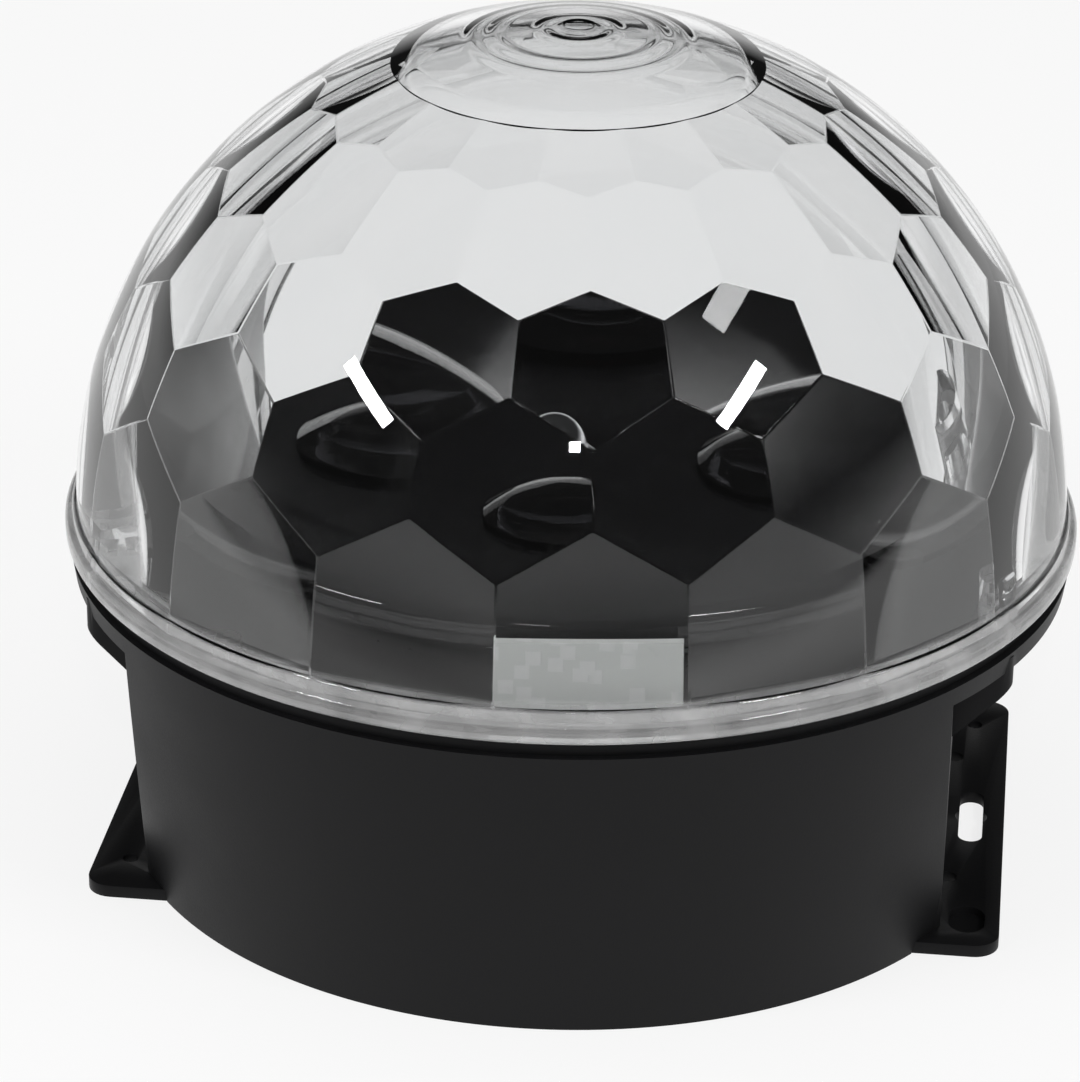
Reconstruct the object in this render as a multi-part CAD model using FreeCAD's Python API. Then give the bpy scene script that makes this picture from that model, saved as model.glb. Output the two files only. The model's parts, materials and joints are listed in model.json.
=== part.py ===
import FreeCAD, Part
import math
import os

# A table-top disco light: a clear faceted dome on a short black drum.
# Millimetres. +Z is up, the front of the drum faces -Y, and the origin is the
# middle of the underside, on the surface that the light stands on.

# Dome
dome_radius = 97.8            # of the smooth outside
dome_wall = 4.4               # at the middle of a facet, the facets being inside
dome_lift = 4.0               # dome's centre above the underside of its flange
facet_count = 17              # facets in one ring
facet_tilts = (6.9, 23.6, 38.5, 53.2, 66.5)   # degrees, rings from the foot up
facet_distance_shares = (0.987, 1.0, 1.004, 1.001, 1.0)   # of the inner radius
facet_turn = 8.5              # degrees from the front to the first facet
cap_radius = 34.5
cap_rise = 1.5                # the cap's hollow is this much deeper than the facets
cap_ring_radii_shares = (0.20, 0.45, 0.58)    # rings inside the cap, of its radius
cap_ring_width = 1.8
cap_ring_depth = 0.6
cap_dimple_radius = 3.2
cap_dimple_depth = 1.2
flange_width = 2.2            # flange beyond the dome
flange_thickness = 4.0
flange_lip = 5.9              # flange inside the facets
flange_edge_round = 1.2
foot_height = 2.4             # plain step above the flange
foot_width = 0.7
boss_radius = 4.2
boss_height = 11.0
boss_roof = 3.3               # above the screw's bore

# Drum
drum_height = 62.0            # up to the underside of the collar
drum_top_inset = 1.0          # drum's top edge inside the flange's edge
drum_draft = 9.3              # the drum narrows by this much towards its foot
drum_wall = 2.5
flat_depth = 11.7             # side flats cut into the drum's foot
flat_lean = 0.2               # the flats lean out by this much at the top
shelf_thickness = 4.0         # the drum's top stays round above the flats
rear_flat_half_width = 40.57  # at the drum's foot
collar_height = 2.0
collar_inset = 1.5            # collar inside the drum's top edge
gasket_thickness = 1.0
gasket_inset = 0.9            # gasket's inner edge beyond the flange's inner edge
gasket_width = 5.6
rim_step = 1.2                # drum's opening beyond the gasket's inner edge
ledge_width = 4.0
ledge_height = 3.0

# Lugs that take the dome's screws
lug_angle = 64.5              # degrees from the front, and mirrored
lug_width = 13.0
lug_reach = 11.0              # the lug's face beyond the flat
lug_depth = 3.0               # its upright face below the shelf
lug_slope = 11.0              # its sloping underside below that
lug_round = 3.0
screw_seat_depth = 3.75       # the dome screws' seats below the collar
screw_inset = 6.8             # the dome's screws inside the dome's radius

# Bottom plate and its ears
plate_thickness = 2.5
plate_clearance = 0.6
ear_width = 11.5              # the ears reach this far beyond the flats
ear_half_length = 52.0
ear_corner = 5.0
keyhole_length = 21.0
keyhole_width = 4.8
keyhole_bulge = 3.2           # radius
keyhole_inset = 6.7           # from the ear's outer edge
pin_hole_radius = 1.6
pin_hole_offset = 40.5
pin_hole_inset = 7.0
side_hole_radius = 2.0
side_hole_offset = 25.5
side_hole_inset = 10.9
pocket_length = 10.0          # blind pocket near one end of each ear
pocket_width = 7.0
pocket_depth = 1.4
pocket_offset = 42.0
pocket_inset = 6.4
vent_count = 6
vent_length = 34.0
vent_width = 3.0
vent_pitch = 6.5
vent_offset = 40.0

# Pillars that carry the plate below and the deck above
pillar_radius = 4.0
pillar_inset = 17.5           # inside the drum's top edge
pillar_angle = 45.0
rib_thickness = 2.5

# Screws
screw_radius = 1.5
screw_head_radius = 2.9
screw_head_height = 1.8
screw_fit = 0.06              # radial room between a screw and its hole
screw_length = 11.0
recess_width = 1.0
recess_depth = 0.9
recess_reach_share = 0.62     # of the screw head's radius
head_room = 0.3

# Deck under the dome
deck_thickness = 2.5
deck_clearance = 0.5
deck_width = 29.6             # between the deck's opening and the drum's
deck_bead_height = 1.2
deck_bead_width = 2.0

# Heat sink and lamp board
sink_thickness = 3.0
sink_overlap = 5.0            # heat sink's rim under the deck
sink_bore = 8.0
fin_count = 28
fin_height = 10.0
fin_thickness = 1.4
fin_inner_radius = 36.0
board_thickness = 1.6
board_margin = 2.0
lamp_count = 6
lamp_inset = 18.0             # the lamps' circle inside the deck's opening
lamp_size = 5.0
lamp_height = 1.2
lamp_dome_radius = 2.1
cup_height = 11.0
cup_top_radius = 10.0
cup_bottom_radius = 5.0
cup_wall = 0.9

# Motor and spinning carrier
motor_radius = 24.5
motor_height = 16.0
motor_nose_radius = 6.0
motor_nose_height = 6.0
motor_ear_length = 8.0
motor_ear_width = 9.0
motor_ear_thickness = 1.5
spacer_height = 3.0
shaft_radius = 2.5
shaft_fit = 0.05
carrier_clearance = 13.4      # between the carrier's rim and the dome's wall
carrier_gap = 12.0            # carrier's skirt above the deck
carrier_skirt = 6.0
carrier_slope = 4.0           # fall from the carrier's land to its rim
carrier_slope_width = 18.0    # between the carrier's land and its rim
carrier_wall = 2.0
hub_radius = 9.0
hub_rise = 2.0
hub_length = 9.0
lens_radius = 11.0
lens_thickness = 2.0
lens_crown = 3.6
lens_fit = 0.1
lens_seat = 1.2
nut_radius = 4.6
nut_height = 2.4
nut_crown = 3.4

# Upright board of the remote control's receiver, behind the front of the dome
receiver_turn = 8.0           # degrees from the front
receiver_length = 33.0
receiver_height = 16.0
receiver_inset = 2.4          # in front of the board, to the dome's flange
receiver_board_thickness = 1.6
receiver_foot_length = 26.0
receiver_foot_width = 3.0
receiver_foot_height = 5.0
receiver_eye_radius = 2.6
receiver_eye_reach = 1.0
receiver_eye_height = 8.0
receiver_lamp_radius = 1.5
receiver_lamp_reach = 1.0
receiver_lamp_spacing = 18.0

# Boards in the drum
post_height = 6.0
post_radius = 3.0
power_board_length = 84.0
power_board_width = 44.0
power_board_setback = 12.0    # power board behind the drum's middle
control_board_length = 76.0
control_board_width = 34.0
control_board_setback = 34.0  # control board in front of the drum's middle
coil_length = 22.0
coil_width = 18.0
coil_height = 16.0
coil_gap = 1.5                # wound bobbin inside the core's height
can_radius = 7.0
can_height = 18.0
small_can_radius = 4.0
small_can_height = 11.0
chip_length = 14.0
chip_width = 9.0
chip_height = 2.2
chip_pitch = 24.0
plug_length = 10.0
plug_height = 7.0
plug_width = 6.0

# Fittings on the rear flat
inlet_centre = -21.5
inlet_face_length = 31.0
inlet_face_height = 24.0
inlet_face_thickness = 2.4
inlet_body_length = 27.4
inlet_body_height = 20.2
inlet_depth = 19.0
socket_length = 24.4
socket_height = 16.4
socket_depth = 16.5
socket_chamfer = 4.0
blade_length = 4.0
blade_thickness = 2.0
blade_reach = 14.0
blade_spacing = 7.0
blade_drop = 1.0              # outer blades below the inlet's centre
earth_rise = 3.0              # middle blade above it
cutout_room = 0.3
switch_centre = 5.0
switch_face_length = 21.0
switch_face_width = 15.0
switch_face_thickness = 2.0
switch_body_length = 18.8
switch_body_width = 12.6
switch_depth = 14.0
rocker_gap = 0.4
rocker_radius = 15.0
rocker_swing = 9.0            # degrees to each side of level
rocker_pivot_radius = 1.4
rocker_pivot_depth = 3.0
fuse_centre = 20.5
fuse_radius = 6.2
fuse_body_radius = 5.0
fuse_face_thickness = 2.2
fuse_depth = 20.0
fuse_cap_radius = 4.2
fuse_cap_height = 3.0
knob_centre = 34.0
knob_radius = 5.4
knob_height = 9.0
knob_gap = 0.6
knob_flute_count = 18
knob_flute_radius = 0.45
pot_radius = 7.0
pot_depth = 7.5
bush_radius = 3.2
bush_reach = 1.2
spindle_radius = 1.5
mic_centre = 20.5
mic_drop = 11.5               # microphone below the deck
mic_radius = 3.0
mic_depth = 5.0
mic_hole_radius = 0.8
mic_hole_circle = 1.9

overrun = 1.0                 # how far a cutting tool runs past what it cuts

# Levels and radii that follow from the sizes above
collar_top = drum_height + collar_height
flange_bottom = collar_top + gasket_thickness
dome_centre = flange_bottom + dome_lift
facet_foot = flange_bottom + flange_thickness / 2
inner_radius = dome_radius - dome_wall
cap_ball_radius = inner_radius + cap_rise
flange_radius = dome_radius + flange_width
drum_top_radius = flange_radius - drum_top_inset
drum_foot_radius = drum_top_radius - drum_draft
flat_x = drum_foot_radius - flat_depth
rear_y = math.sqrt(drum_foot_radius ** 2 - rear_flat_half_width ** 2)
shelf_bottom = drum_height - shelf_thickness
collar_radius = drum_top_radius - collar_inset
gasket_inner = inner_radius - flange_lip + gasket_inset
gasket_outer = gasket_inner + gasket_width
rim_radius = gasket_inner + rim_step
deck_top = collar_top - collar_height
deck_bottom = deck_top - deck_thickness
ear_x = flat_x + ear_width
deck_opening = rim_radius - deck_width
lamp_circle = deck_opening - lamp_inset
pillar_circle = drum_top_radius - pillar_inset
screw_circle = dome_radius - screw_inset
board_bottom = deck_bottom
board_top = board_bottom + board_thickness
cup_top = board_top + cup_height
carrier_radius = inner_radius - carrier_clearance
carrier_land_radius = carrier_radius - carrier_slope_width
carrier_foot = deck_top + carrier_gap
carrier_rim = carrier_foot + carrier_skirt
carrier_land = carrier_rim + carrier_slope
hub_top = carrier_land + hub_rise
post_top = plate_thickness + post_height
fitting_height = drum_height / 2
mic_height = deck_bottom - mic_drop


def vec(x, y, z):
    return FreeCAD.Vector(x, y, z)


def block(x0, x1, y0, y1, z0, z1):
    """A box between two corners."""
    return Part.makeBox(x1 - x0, y1 - y0, z1 - z0, vec(x0, y0, z0))


def disc(radius, z0, z1, x=0, y=0):
    """An upright cylinder."""
    return Part.makeCylinder(radius, z1 - z0, vec(x, y, z0))


def ring(outer, inner, z0, z1, x=0, y=0):
    """An upright tube."""
    return disc(outer, z0, z1, x, y).cut(disc(inner, z0 - overrun, z1 + overrun, x, y))


def rod_y(radius, y0, y1, x, z):
    """A cylinder lying along Y."""
    return Part.makeCylinder(radius, y1 - y0, vec(x, y0, z), vec(0, 1, 0))


def turned_part(points):
    """A solid of revolution about Z from (radius, height) points."""
    corners = [vec(r, 0, z) for r, z in points]
    face = Part.Face(Part.makePolygon(corners + corners[:1]))
    return face.revolve(vec(0, 0, 0), vec(0, 0, 1), 360)


def prism(points, z0, z1):
    """An upright prism on an (x, y) outline."""
    corners = [vec(x, y, z0) for x, y in points]
    face = Part.Face(Part.makePolygon(corners + corners[:1]))
    return face.extrude(vec(0, 0, z1 - z0))


def turn(shape, degrees):
    """A copy turned about Z."""
    copy = shape.copy()
    copy.rotate(vec(0, 0, 0), vec(0, 0, 1), degrees)
    return copy


def around(shape, count, start=0):
    """Copies spread evenly about Z."""
    return [turn(shape, start + 360 * i / count) for i in range(count)]


def polar(radius, degrees):
    """The point at this radius, its angle taken from the front towards +X."""
    a = math.radians(degrees)
    return radius * math.sin(a), -radius * math.cos(a)


def joined(first, others):
    """One solid from several that touch or cross."""
    return first.fuse(list(others)).removeSplitter()


def slot(length, width, x, y, z0, z1, along_y=False):
    """A round-ended slot."""
    run = (length - width) / 2
    body = block(-run, run, -width / 2, width / 2, z0, z1)
    body = body.fuse([disc(width / 2, z0, z1, -run), disc(width / 2, z0, z1, run)])
    if along_y:
        body = turn(body, 90)
    body.translate(vec(x, y, 0))
    return body


def round_upright_edges(shape, radius, chosen):
    """Fillet the upright edges that the test picks by their place."""
    edges = []
    for e in shape.Edges:
        a, b = e.Vertexes[0].Point, e.Vertexes[-1].Point
        upright = abs(a.x - b.x) + abs(a.y - b.y) < abs(a.z - b.z) / 1000
        if upright and chosen(a):
            edges.append(e)
    return shape.makeFillet(radius, edges)


def facet_distance(k):
    """Distance of a ring's facets from the dome's centre."""
    return inner_radius * facet_distance_shares[k]


def facet_meeting(k, narrow_low, narrow_high):
    """Where the facets of ring k and of the next one meet in an upright plane through the axis."""
    a, b = math.radians(facet_tilts[k]), math.radians(facet_tilts[k + 1])
    da, db = facet_distance(k), facet_distance(k + 1)
    ra, rb = math.cos(a) * narrow_low, math.cos(b) * narrow_high
    span = ra * math.sin(b) - rb * math.sin(a)
    r = (da * math.sin(b) - db * math.sin(a)) / span
    z = (db * ra - da * rb) / span
    return r, dome_centre + z


def facet_body():
    """The closed block inside the flat facets, its foot and top flat."""
    half = 180 / facet_count
    narrow = math.cos(math.radians(half))

    def at(rz, degrees):
        x, y = polar(rz[0], degrees)
        return vec(x, y, rz[1])

    def radius_at(k, z):
        a = math.radians(facet_tilts[k])
        return (facet_distance(k) - (z - dome_centre) * math.sin(a)) / (math.cos(a) * narrow)

    last = len(facet_tilts) - 1
    low = [facet_meeting(k, narrow, 1) for k in range(last)]
    high = [facet_meeting(k, 1, narrow) for k in range(last)]
    top_z = dome_centre + math.sqrt(cap_ball_radius ** 2 - cap_radius ** 2)
    foot = (radius_at(0, facet_foot), facet_foot)
    top = (radius_at(last, top_z), top_z)
    faces = []
    rim = []
    base = []
    for i in range(facet_count):
        for k in range(last + 1):
            mid = facet_turn + (2 * i + k % 2) * half
            left, right = mid - half, mid + half
            if k == 0:
                outline = [at(foot, left), at(foot, right), at(low[0], right),
                           at(high[0], mid), at(low[0], left)]
                base.append(at(foot, left))
            elif k < last:
                outline = [at(low[k - 1], mid), at(high[k - 1], right), at(low[k], right),
                           at(high[k], mid), at(low[k], left), at(high[k - 1], left)]
            else:
                outline = [at(low[k - 1], mid), at(high[k - 1], right), at(top, right),
                           at(top, left), at(high[k - 1], left)]
                rim.append(at(top, left))
            faces.append(Part.Face(Part.makePolygon(outline + outline[:1])))
    faces.append(Part.Face(Part.makePolygon(rim + rim[:1])))
    faces.append(Part.Face(Part.makePolygon(base + base[:1])))
    shell = Part.makeShell(faces)
    body = Part.makeSolid(shell)
    if body.Volume < 0:
        body.reverse()
    return body


def lug_places(shape_at):
    """One shape for each of the four lugs, from its angle."""
    return [shape_at(a) for a in (lug_angle, 180 - lug_angle, 180 + lug_angle, -lug_angle)]


def dome_hollow():
    """What the dome holds: the facets' block, the cap's round hollow and the open mouth."""
    low = facet_foot + overrun
    ball = Part.makeSphere(cap_ball_radius, vec(0, 0, dome_centre))
    cap = disc(cap_radius, dome_centre, dome_centre + cap_ball_radius).common(ball)
    mouth = disc(inner_radius - flange_lip, flange_bottom - overrun, low)
    return joined(facet_body(), [cap, mouth])


def make_dome():
    """Clear moulding: smooth ball outside, flat facets and ringed cap inside, flange and bosses."""
    top_z = dome_centre + dome_radius
    r1 = flange_radius
    z1 = flange_bottom + flange_thickness
    foot_radius = dome_radius + foot_width
    foot_top = z1 + foot_height
    skirt = turned_part([
        (inner_radius - flange_lip, flange_bottom),
        (r1 - flange_edge_round, flange_bottom),
        (r1, flange_bottom + flange_edge_round),
        (r1, z1 - flange_edge_round),
        (r1 - flange_edge_round, z1),
        (foot_radius, z1),
        (foot_radius, foot_top),
        (inner_radius - flange_lip, foot_top),
    ])
    ball = Part.makeSphere(dome_radius, vec(0, 0, dome_centre))
    ball = ball.common(disc(r1, dome_centre, top_z + overrun))
    body = joined(ball, [skirt]).cut(dome_hollow())
    grooves = []
    for share in cap_ring_radii_shares:
        r = cap_radius * share
        z = dome_centre + math.sqrt(cap_ball_radius ** 2 - r ** 2)
        grooves.append(ring(r + cap_ring_width / 2, r - cap_ring_width / 2, z - overrun, z + cap_ring_depth))
    grooves.append(disc(cap_dimple_radius, top_z - cap_dimple_depth, top_z + overrun))
    for g in grooves:
        body = body.cut(g)

    def boss(angle):
        x, y = polar(screw_circle, angle)
        return disc(boss_radius, flange_bottom, flange_bottom + boss_height, x, y)

    def bore(angle):
        x, y = polar(screw_circle, angle)
        depth = boss_height - boss_roof
        return disc(screw_radius + screw_fit, flange_bottom - overrun, flange_bottom + depth, x, y)

    inside = disc(flange_radius - flange_edge_round, flange_bottom, top_z)
    bosses = [b.common(inside) for b in lug_places(boss)]
    body = joined(body, bosses)
    for hole in lug_places(bore):
        body = body.cut(hole)
    return body


def drum_cone(shrink, z0, z1):
    """The drum's drafted round body, drawn in by a wall."""
    slope = drum_draft / drum_height
    foot = drum_foot_radius + slope * z0 - shrink
    head = drum_foot_radius + slope * z1 - shrink
    return Part.makeCone(foot, head, z1 - z0, vec(0, 0, z0))


def flatted(body, shrink, z0, z1):
    """A round body cut to the drum's three flats, drawn in by a wall."""
    lean = flat_lean / drum_height
    far = 2 * flange_radius
    x0, x1 = flat_x + lean * z0 - shrink, flat_x + lean * z1 - shrink
    y0, y1 = rear_y + lean * z0 - shrink, rear_y + lean * z1 - shrink
    side = [vec(-x0, -far, z0), vec(x0, -far, z0), vec(x1, -far, z1), vec(-x1, -far, z1)]
    keep_x = Part.Face(Part.makePolygon(side + side[:1])).extrude(vec(0, 2 * far, 0))
    back = [vec(-far, -far, z0), vec(-far, y0, z0), vec(-far, y1, z1), vec(-far, -far, z1)]
    keep_y = Part.Face(Part.makePolygon(back + back[:1])).extrude(vec(2 * far, 0, 0))
    return body.common(keep_x).common(keep_y)


def drum_outline(shrink, z0, z1):
    """The drum's drafted body with its three flats, drawn in by a wall."""
    return flatted(drum_cone(shrink, z0, z1), shrink, z0, z1)


def rim_outline(inset, shrink, z0, z1):
    """The drum's upper opening with its flats, drawn in for what sits in it."""
    return flatted(disc(rim_radius - inset, z0, z1), shrink, z0, z1)


def lug(angle):
    """A lug on a side flat, under the shelf, with an upright face and a sloping underside."""
    x, y = polar(screw_circle, angle)
    way = 1 if x > 0 else -1
    inner = flat_x - drum_wall / 2
    outer = flat_x + lug_reach
    z_mid = shelf_bottom - lug_depth
    z_low = z_mid - lug_slope
    side = [vec(inner, 0, drum_height), vec(outer, 0, drum_height), vec(outer, 0, z_mid),
            vec(flat_x, 0, z_low), vec(inner, 0, z_low)]
    face = Part.Face(Part.makePolygon(side + side[:1]))
    body = face.extrude(vec(0, lug_width, 0))
    body.translate(vec(0, -lug_width / 2, 0))
    body = round_upright_edges(body, lug_round, lambda p: p.x > outer - lug_round)
    if way < 0:
        body = turn(body, 180)
    body.translate(vec(0, y, 0))
    return body.common(disc(flange_radius - drum_top_inset, z_low, drum_height))


def make_rim():
    """Stepped rim in the drum's mouth: a ledge for the deck and a collar for the gasket."""
    ledge_bottom = deck_bottom - ledge_height
    body = drum_outline(drum_wall / 2, ledge_bottom, shelf_bottom)
    body = body.fuse([drum_cone(0, shelf_bottom, drum_height), disc(collar_radius, drum_height, collar_top)])
    body = body.cut(rim_outline(ledge_width, drum_wall + ledge_width, ledge_bottom - overrun, deck_bottom))
    return body.cut(rim_outline(0, drum_wall, deck_bottom, collar_top + overrun))


def make_pillars():
    """Four pillars that carry the plate below and the deck above, each with a rib to the wall."""
    inside = drum_outline(drum_wall / 2, plate_thickness, shelf_bottom)
    found = []
    for i in range(4):
        a = pillar_angle + 90 * i
        x, y = polar(pillar_circle, a)
        found.append(disc(pillar_radius, plate_thickness, deck_bottom, x, y))
        rib = block(-rib_thickness / 2, rib_thickness / 2, -flange_radius,
                    -pillar_circle, plate_thickness, shelf_bottom)
        found.append(turn(rib, a).common(inside))
    return found


def make_housing():
    """Black drum shell: drafted wall, flats, round top, lugs, rim, pillars and rear cut-outs."""
    far = 2 * flange_radius
    wall = drum_outline(0, 0, shelf_bottom)
    wall = wall.cut(drum_outline(drum_wall, -overrun, shelf_bottom + overrun))
    body = joined(wall, [make_rim()] + lug_places(lug) + make_pillars())
    notch = block(-far, far, -ear_half_length - cutout_room, ear_half_length + cutout_room,
                  -overrun, plate_thickness)
    body = body.cut(notch)

    def dome_hole(angle):
        x, y = polar(screw_circle, angle)
        seat = collar_top - lug_seat_drop()
        shank = disc(screw_radius + screw_fit, seat - overrun, collar_top + overrun, x, y)
        head = disc(screw_head_radius + head_room, 0, seat, x, y)
        return shank.fuse(head)

    for hole in lug_places(dome_hole):
        body = body.cut(hole)
    for i in range(4):
        x, y = polar(pillar_circle, pillar_angle + 90 * i)
        for z0, z1 in ((0, plate_thickness + screw_length), (deck_bottom - screw_length, collar_top)):
            body = body.cut(disc(screw_radius + screw_fit, z0, z1, x, y))
    y_in, y_out = rear_y - 3 * drum_wall, far
    zc = fitting_height
    half = inlet_body_length / 2 + cutout_room
    tall = inlet_body_height / 2 + cutout_room
    body = body.cut(block(inlet_centre - half, inlet_centre + half, y_in, y_out, zc - tall, zc + tall))
    half = switch_body_width / 2 + cutout_room
    tall = switch_body_length / 2 + cutout_room
    body = body.cut(block(switch_centre - half, switch_centre + half, y_in, y_out, zc - tall, zc + tall))
    body = body.cut(rod_y(fuse_body_radius + cutout_room, y_in, y_out, fuse_centre, zc))
    body = body.cut(rod_y(bush_radius + screw_fit, y_in, y_out, knob_centre, zc))
    for x, z in mic_holes():
        body = body.cut(rod_y(mic_hole_radius, y_in, y_out, x, z))
    return body


def lug_seat_drop():
    """How far below the collar's top the head of a dome screw seats."""
    return collar_height + screw_seat_depth


def mic_holes():
    """Centres of the sound holes: one in the middle and six about it."""
    z = mic_height
    spots = [(mic_centre, z)]
    for i in range(6):
        a = math.radians(60 * i)
        spots.append((mic_centre + mic_hole_circle * math.cos(a), z + mic_hole_circle * math.sin(a)))
    return spots


def make_gasket():
    """Flat rubber ring between the drum's collar and the dome's flange."""
    body = ring(gasket_outer, gasket_inner, collar_top, flange_bottom)

    def hole(angle):
        x, y = polar(screw_circle, angle)
        return disc(screw_radius + head_room, collar_top - overrun, flange_bottom + overrun, x, y)

    for h in lug_places(hole):
        body = body.cut(h)
    return body


def make_base_plate():
    """Bottom plate with an ear on each side, keyholes, pockets and vents."""
    shrink = drum_wall + plate_clearance
    hidden = disc(drum_foot_radius - shrink, 0, plate_thickness)
    hidden = hidden.common(block(-flat_x + shrink, flat_x - shrink, -flange_radius, rear_y - shrink,
                                 0, plate_thickness))
    ears = block(-ear_x, ear_x, -ear_half_length, ear_half_length, 0, plate_thickness)
    ears = round_upright_edges(ears, ear_corner, lambda p: True)
    body = joined(hidden, [ears])
    z0, z1 = -overrun, plate_thickness + overrun
    one_side = [
        slot(keyhole_length, keyhole_width, ear_x - keyhole_inset, 0, z0, z1, True),
        disc(keyhole_bulge, z0, z1, ear_x - keyhole_inset, 0),
        disc(pin_hole_radius, z0, z1, ear_x - pin_hole_inset, pin_hole_offset),
        disc(side_hole_radius, z0, z1, ear_x - side_hole_inset, side_hole_offset),
        disc(side_hole_radius, z0, z1, ear_x - side_hole_inset, -side_hole_offset),
        slot(pocket_length, pocket_width, ear_x - pocket_inset, -pocket_offset,
             plate_thickness - pocket_depth, z1, True),
    ]
    for s in one_side:
        body = body.cut(s).cut(turn(s, 180))
    for i in range(vent_count):
        y = (i - (vent_count - 1) / 2) * vent_pitch
        for x in (-vent_offset, vent_offset):
            body = body.cut(slot(vent_length, vent_width, x, y, z0, z1))
    for i in range(4):
        x, y = polar(pillar_circle, pillar_angle + 90 * i)
        body = body.cut(disc(screw_radius + screw_fit, z0, z1, x, y))
        body = body.cut(disc(screw_head_radius + head_room, z0, screw_head_height + head_room / 2, x, y))
    return body


def screw(x, y, seat, up):
    """A cross-recess screw whose head seats at this height; up says which way its tip points."""
    sign = 1 if up else -1
    z_head = seat - sign * screw_head_height
    z_tip = seat + sign * screw_length
    head = disc(screw_head_radius, min(seat, z_head), max(seat, z_head), x, y)
    shank = disc(screw_radius, min(seat, z_tip), max(seat, z_tip), x, y)
    body = joined(head, [shank])
    z_a, z_b = z_head - sign * overrun, z_head + sign * recess_depth
    low, high = min(z_a, z_b), max(z_a, z_b)
    reach = screw_head_radius * recess_reach_share
    for dx, dy in ((reach, recess_width / 2), (recess_width / 2, reach)):
        body = body.cut(block(x - dx, x + dx, y - dy, y + dy, low, high))
    return body


def make_base_screws():
    """Screws through the bottom plate into the pillars, heads let into the plate."""
    spots = [polar(pillar_circle, pillar_angle + 90 * i) for i in range(4)]
    return [screw(x, y, screw_head_height + head_room / 2, True) for x, y in spots]


def make_deck_screws():
    """Screws through the deck into the tops of the pillars."""
    spots = [polar(pillar_circle, pillar_angle + 90 * i) for i in range(4)]
    return [screw(x, y, deck_top, False) for x, y in spots]


def make_dome_screws():
    """Screws up through the lugs into the dome's bosses."""
    seat = collar_top - lug_seat_drop()

    def at(angle):
        x, y = polar(screw_circle, angle)
        return screw(x, y, seat, True)

    return lug_places(at)


def make_deck():
    """Glossy black plate across the top of the drum, with a bead round its opening."""
    body = rim_outline(deck_clearance, drum_wall + deck_clearance, deck_bottom, deck_top)
    body = body.fuse(disc(deck_opening + deck_bead_width, deck_top, deck_top + deck_bead_height))
    body = body.removeSplitter()
    body = body.cut(disc(deck_opening, deck_bottom - overrun, deck_top + deck_bead_height + overrun))
    for i in range(4):
        x, y = polar(pillar_circle, pillar_angle + 90 * i)
        body = body.cut(disc(screw_radius + screw_fit, 0, collar_top, x, y))
    return body


def make_heat_sink():
    """Aluminium disc under the deck with fins that point down."""
    top = deck_bottom
    bottom = top - sink_thickness
    radius = deck_opening + sink_overlap
    body = disc(radius, bottom, top)
    fin = block(fin_inner_radius, radius, -fin_thickness / 2, fin_thickness / 2,
                bottom - fin_height, bottom)
    body = joined(body, around(fin, fin_count, 180 / fin_count))
    body = body.cut(disc(sink_bore, bottom - overrun, top + overrun))
    for x in (-motor_screw_x(), motor_screw_x()):
        body = body.cut(disc(screw_radius + screw_fit, bottom - overrun, top + overrun, x))
    return body


def motor_screw_x():
    """Distance of a motor screw from the shaft."""
    return motor_radius + motor_ear_length / 2


def make_lamp_board():
    """Round lamp board on the heat sink, inside the deck's opening."""
    body = disc(deck_opening - board_margin, board_bottom, board_top)
    body = body.cut(disc(sink_bore, board_bottom - overrun, board_top + overrun))
    room = screw_head_radius + head_room
    for x in (-motor_screw_x(), motor_screw_x()):
        body = body.cut(disc(room, board_bottom - overrun, board_top + overrun, x))
    return body


def lamps(first):
    """A pair of lamps facing each other across the board: package and clear dome."""
    z = board_top
    half = lamp_size / 2
    pack = block(-half, half, -lamp_circle - half, -lamp_circle + half, z, z + lamp_height)
    ball = Part.makeSphere(lamp_dome_radius, vec(0, -lamp_circle, z + lamp_height))
    ball = ball.cut(block(-half, half, -lamp_circle - half, -lamp_circle + half,
                          z - lamp_dome_radius, z + lamp_height / 2))
    one = joined(pack, [ball])
    step = 360 / lamp_count
    return [turn(one, step * (first + half_turn)) for half_turn in (0, lamp_count // 2)]


def make_cups():
    """Bright cone reflectors, one over each lamp."""
    z0, z1 = board_top, cup_top
    outside = Part.makeCone(cup_bottom_radius, cup_top_radius, z1 - z0, vec(0, -lamp_circle, z0))
    inside = Part.makeCone(cup_bottom_radius - cup_wall, cup_top_radius - cup_wall, z1 - z0,
                           vec(0, -lamp_circle, z0))
    return around(outside.cut(inside), lamp_count)


def motor_top():
    """Level of the motor's lid, below the heat sink."""
    return deck_bottom - sink_thickness - spacer_height


def make_motor():
    """Round gear motor with two ears and a nose that guides its shaft."""
    top = motor_top()
    body = disc(motor_radius, top - motor_height, top)
    reach = motor_radius + motor_ear_length
    ears = slot(2 * reach, motor_ear_width, 0, 0, top - motor_ear_thickness, top)
    nose = disc(motor_nose_radius, top, top + motor_nose_height)
    body = joined(body, [ears, nose])
    for x in (-motor_screw_x(), motor_screw_x()):
        body = body.cut(disc(screw_radius + screw_fit, top - motor_height, top + overrun, x))
    body = body.cut(disc(shaft_radius + shaft_fit, top - motor_height / 2, top + 2 * motor_nose_height))
    return body


def make_motor_spacers():
    """Tubes that hold the motor off the hot plate."""
    z0, z1 = motor_top(), motor_top() + spacer_height
    outer = motor_ear_width / 2
    return [ring(outer, screw_radius + screw_fit, z0, z1, x) for x in (-motor_screw_x(), motor_screw_x())]


def make_motor_screws():
    """Two screws from above that hang the motor under the heat sink."""
    return [screw(x, 0, deck_bottom, False) for x in (-motor_screw_x(), motor_screw_x())]


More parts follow.
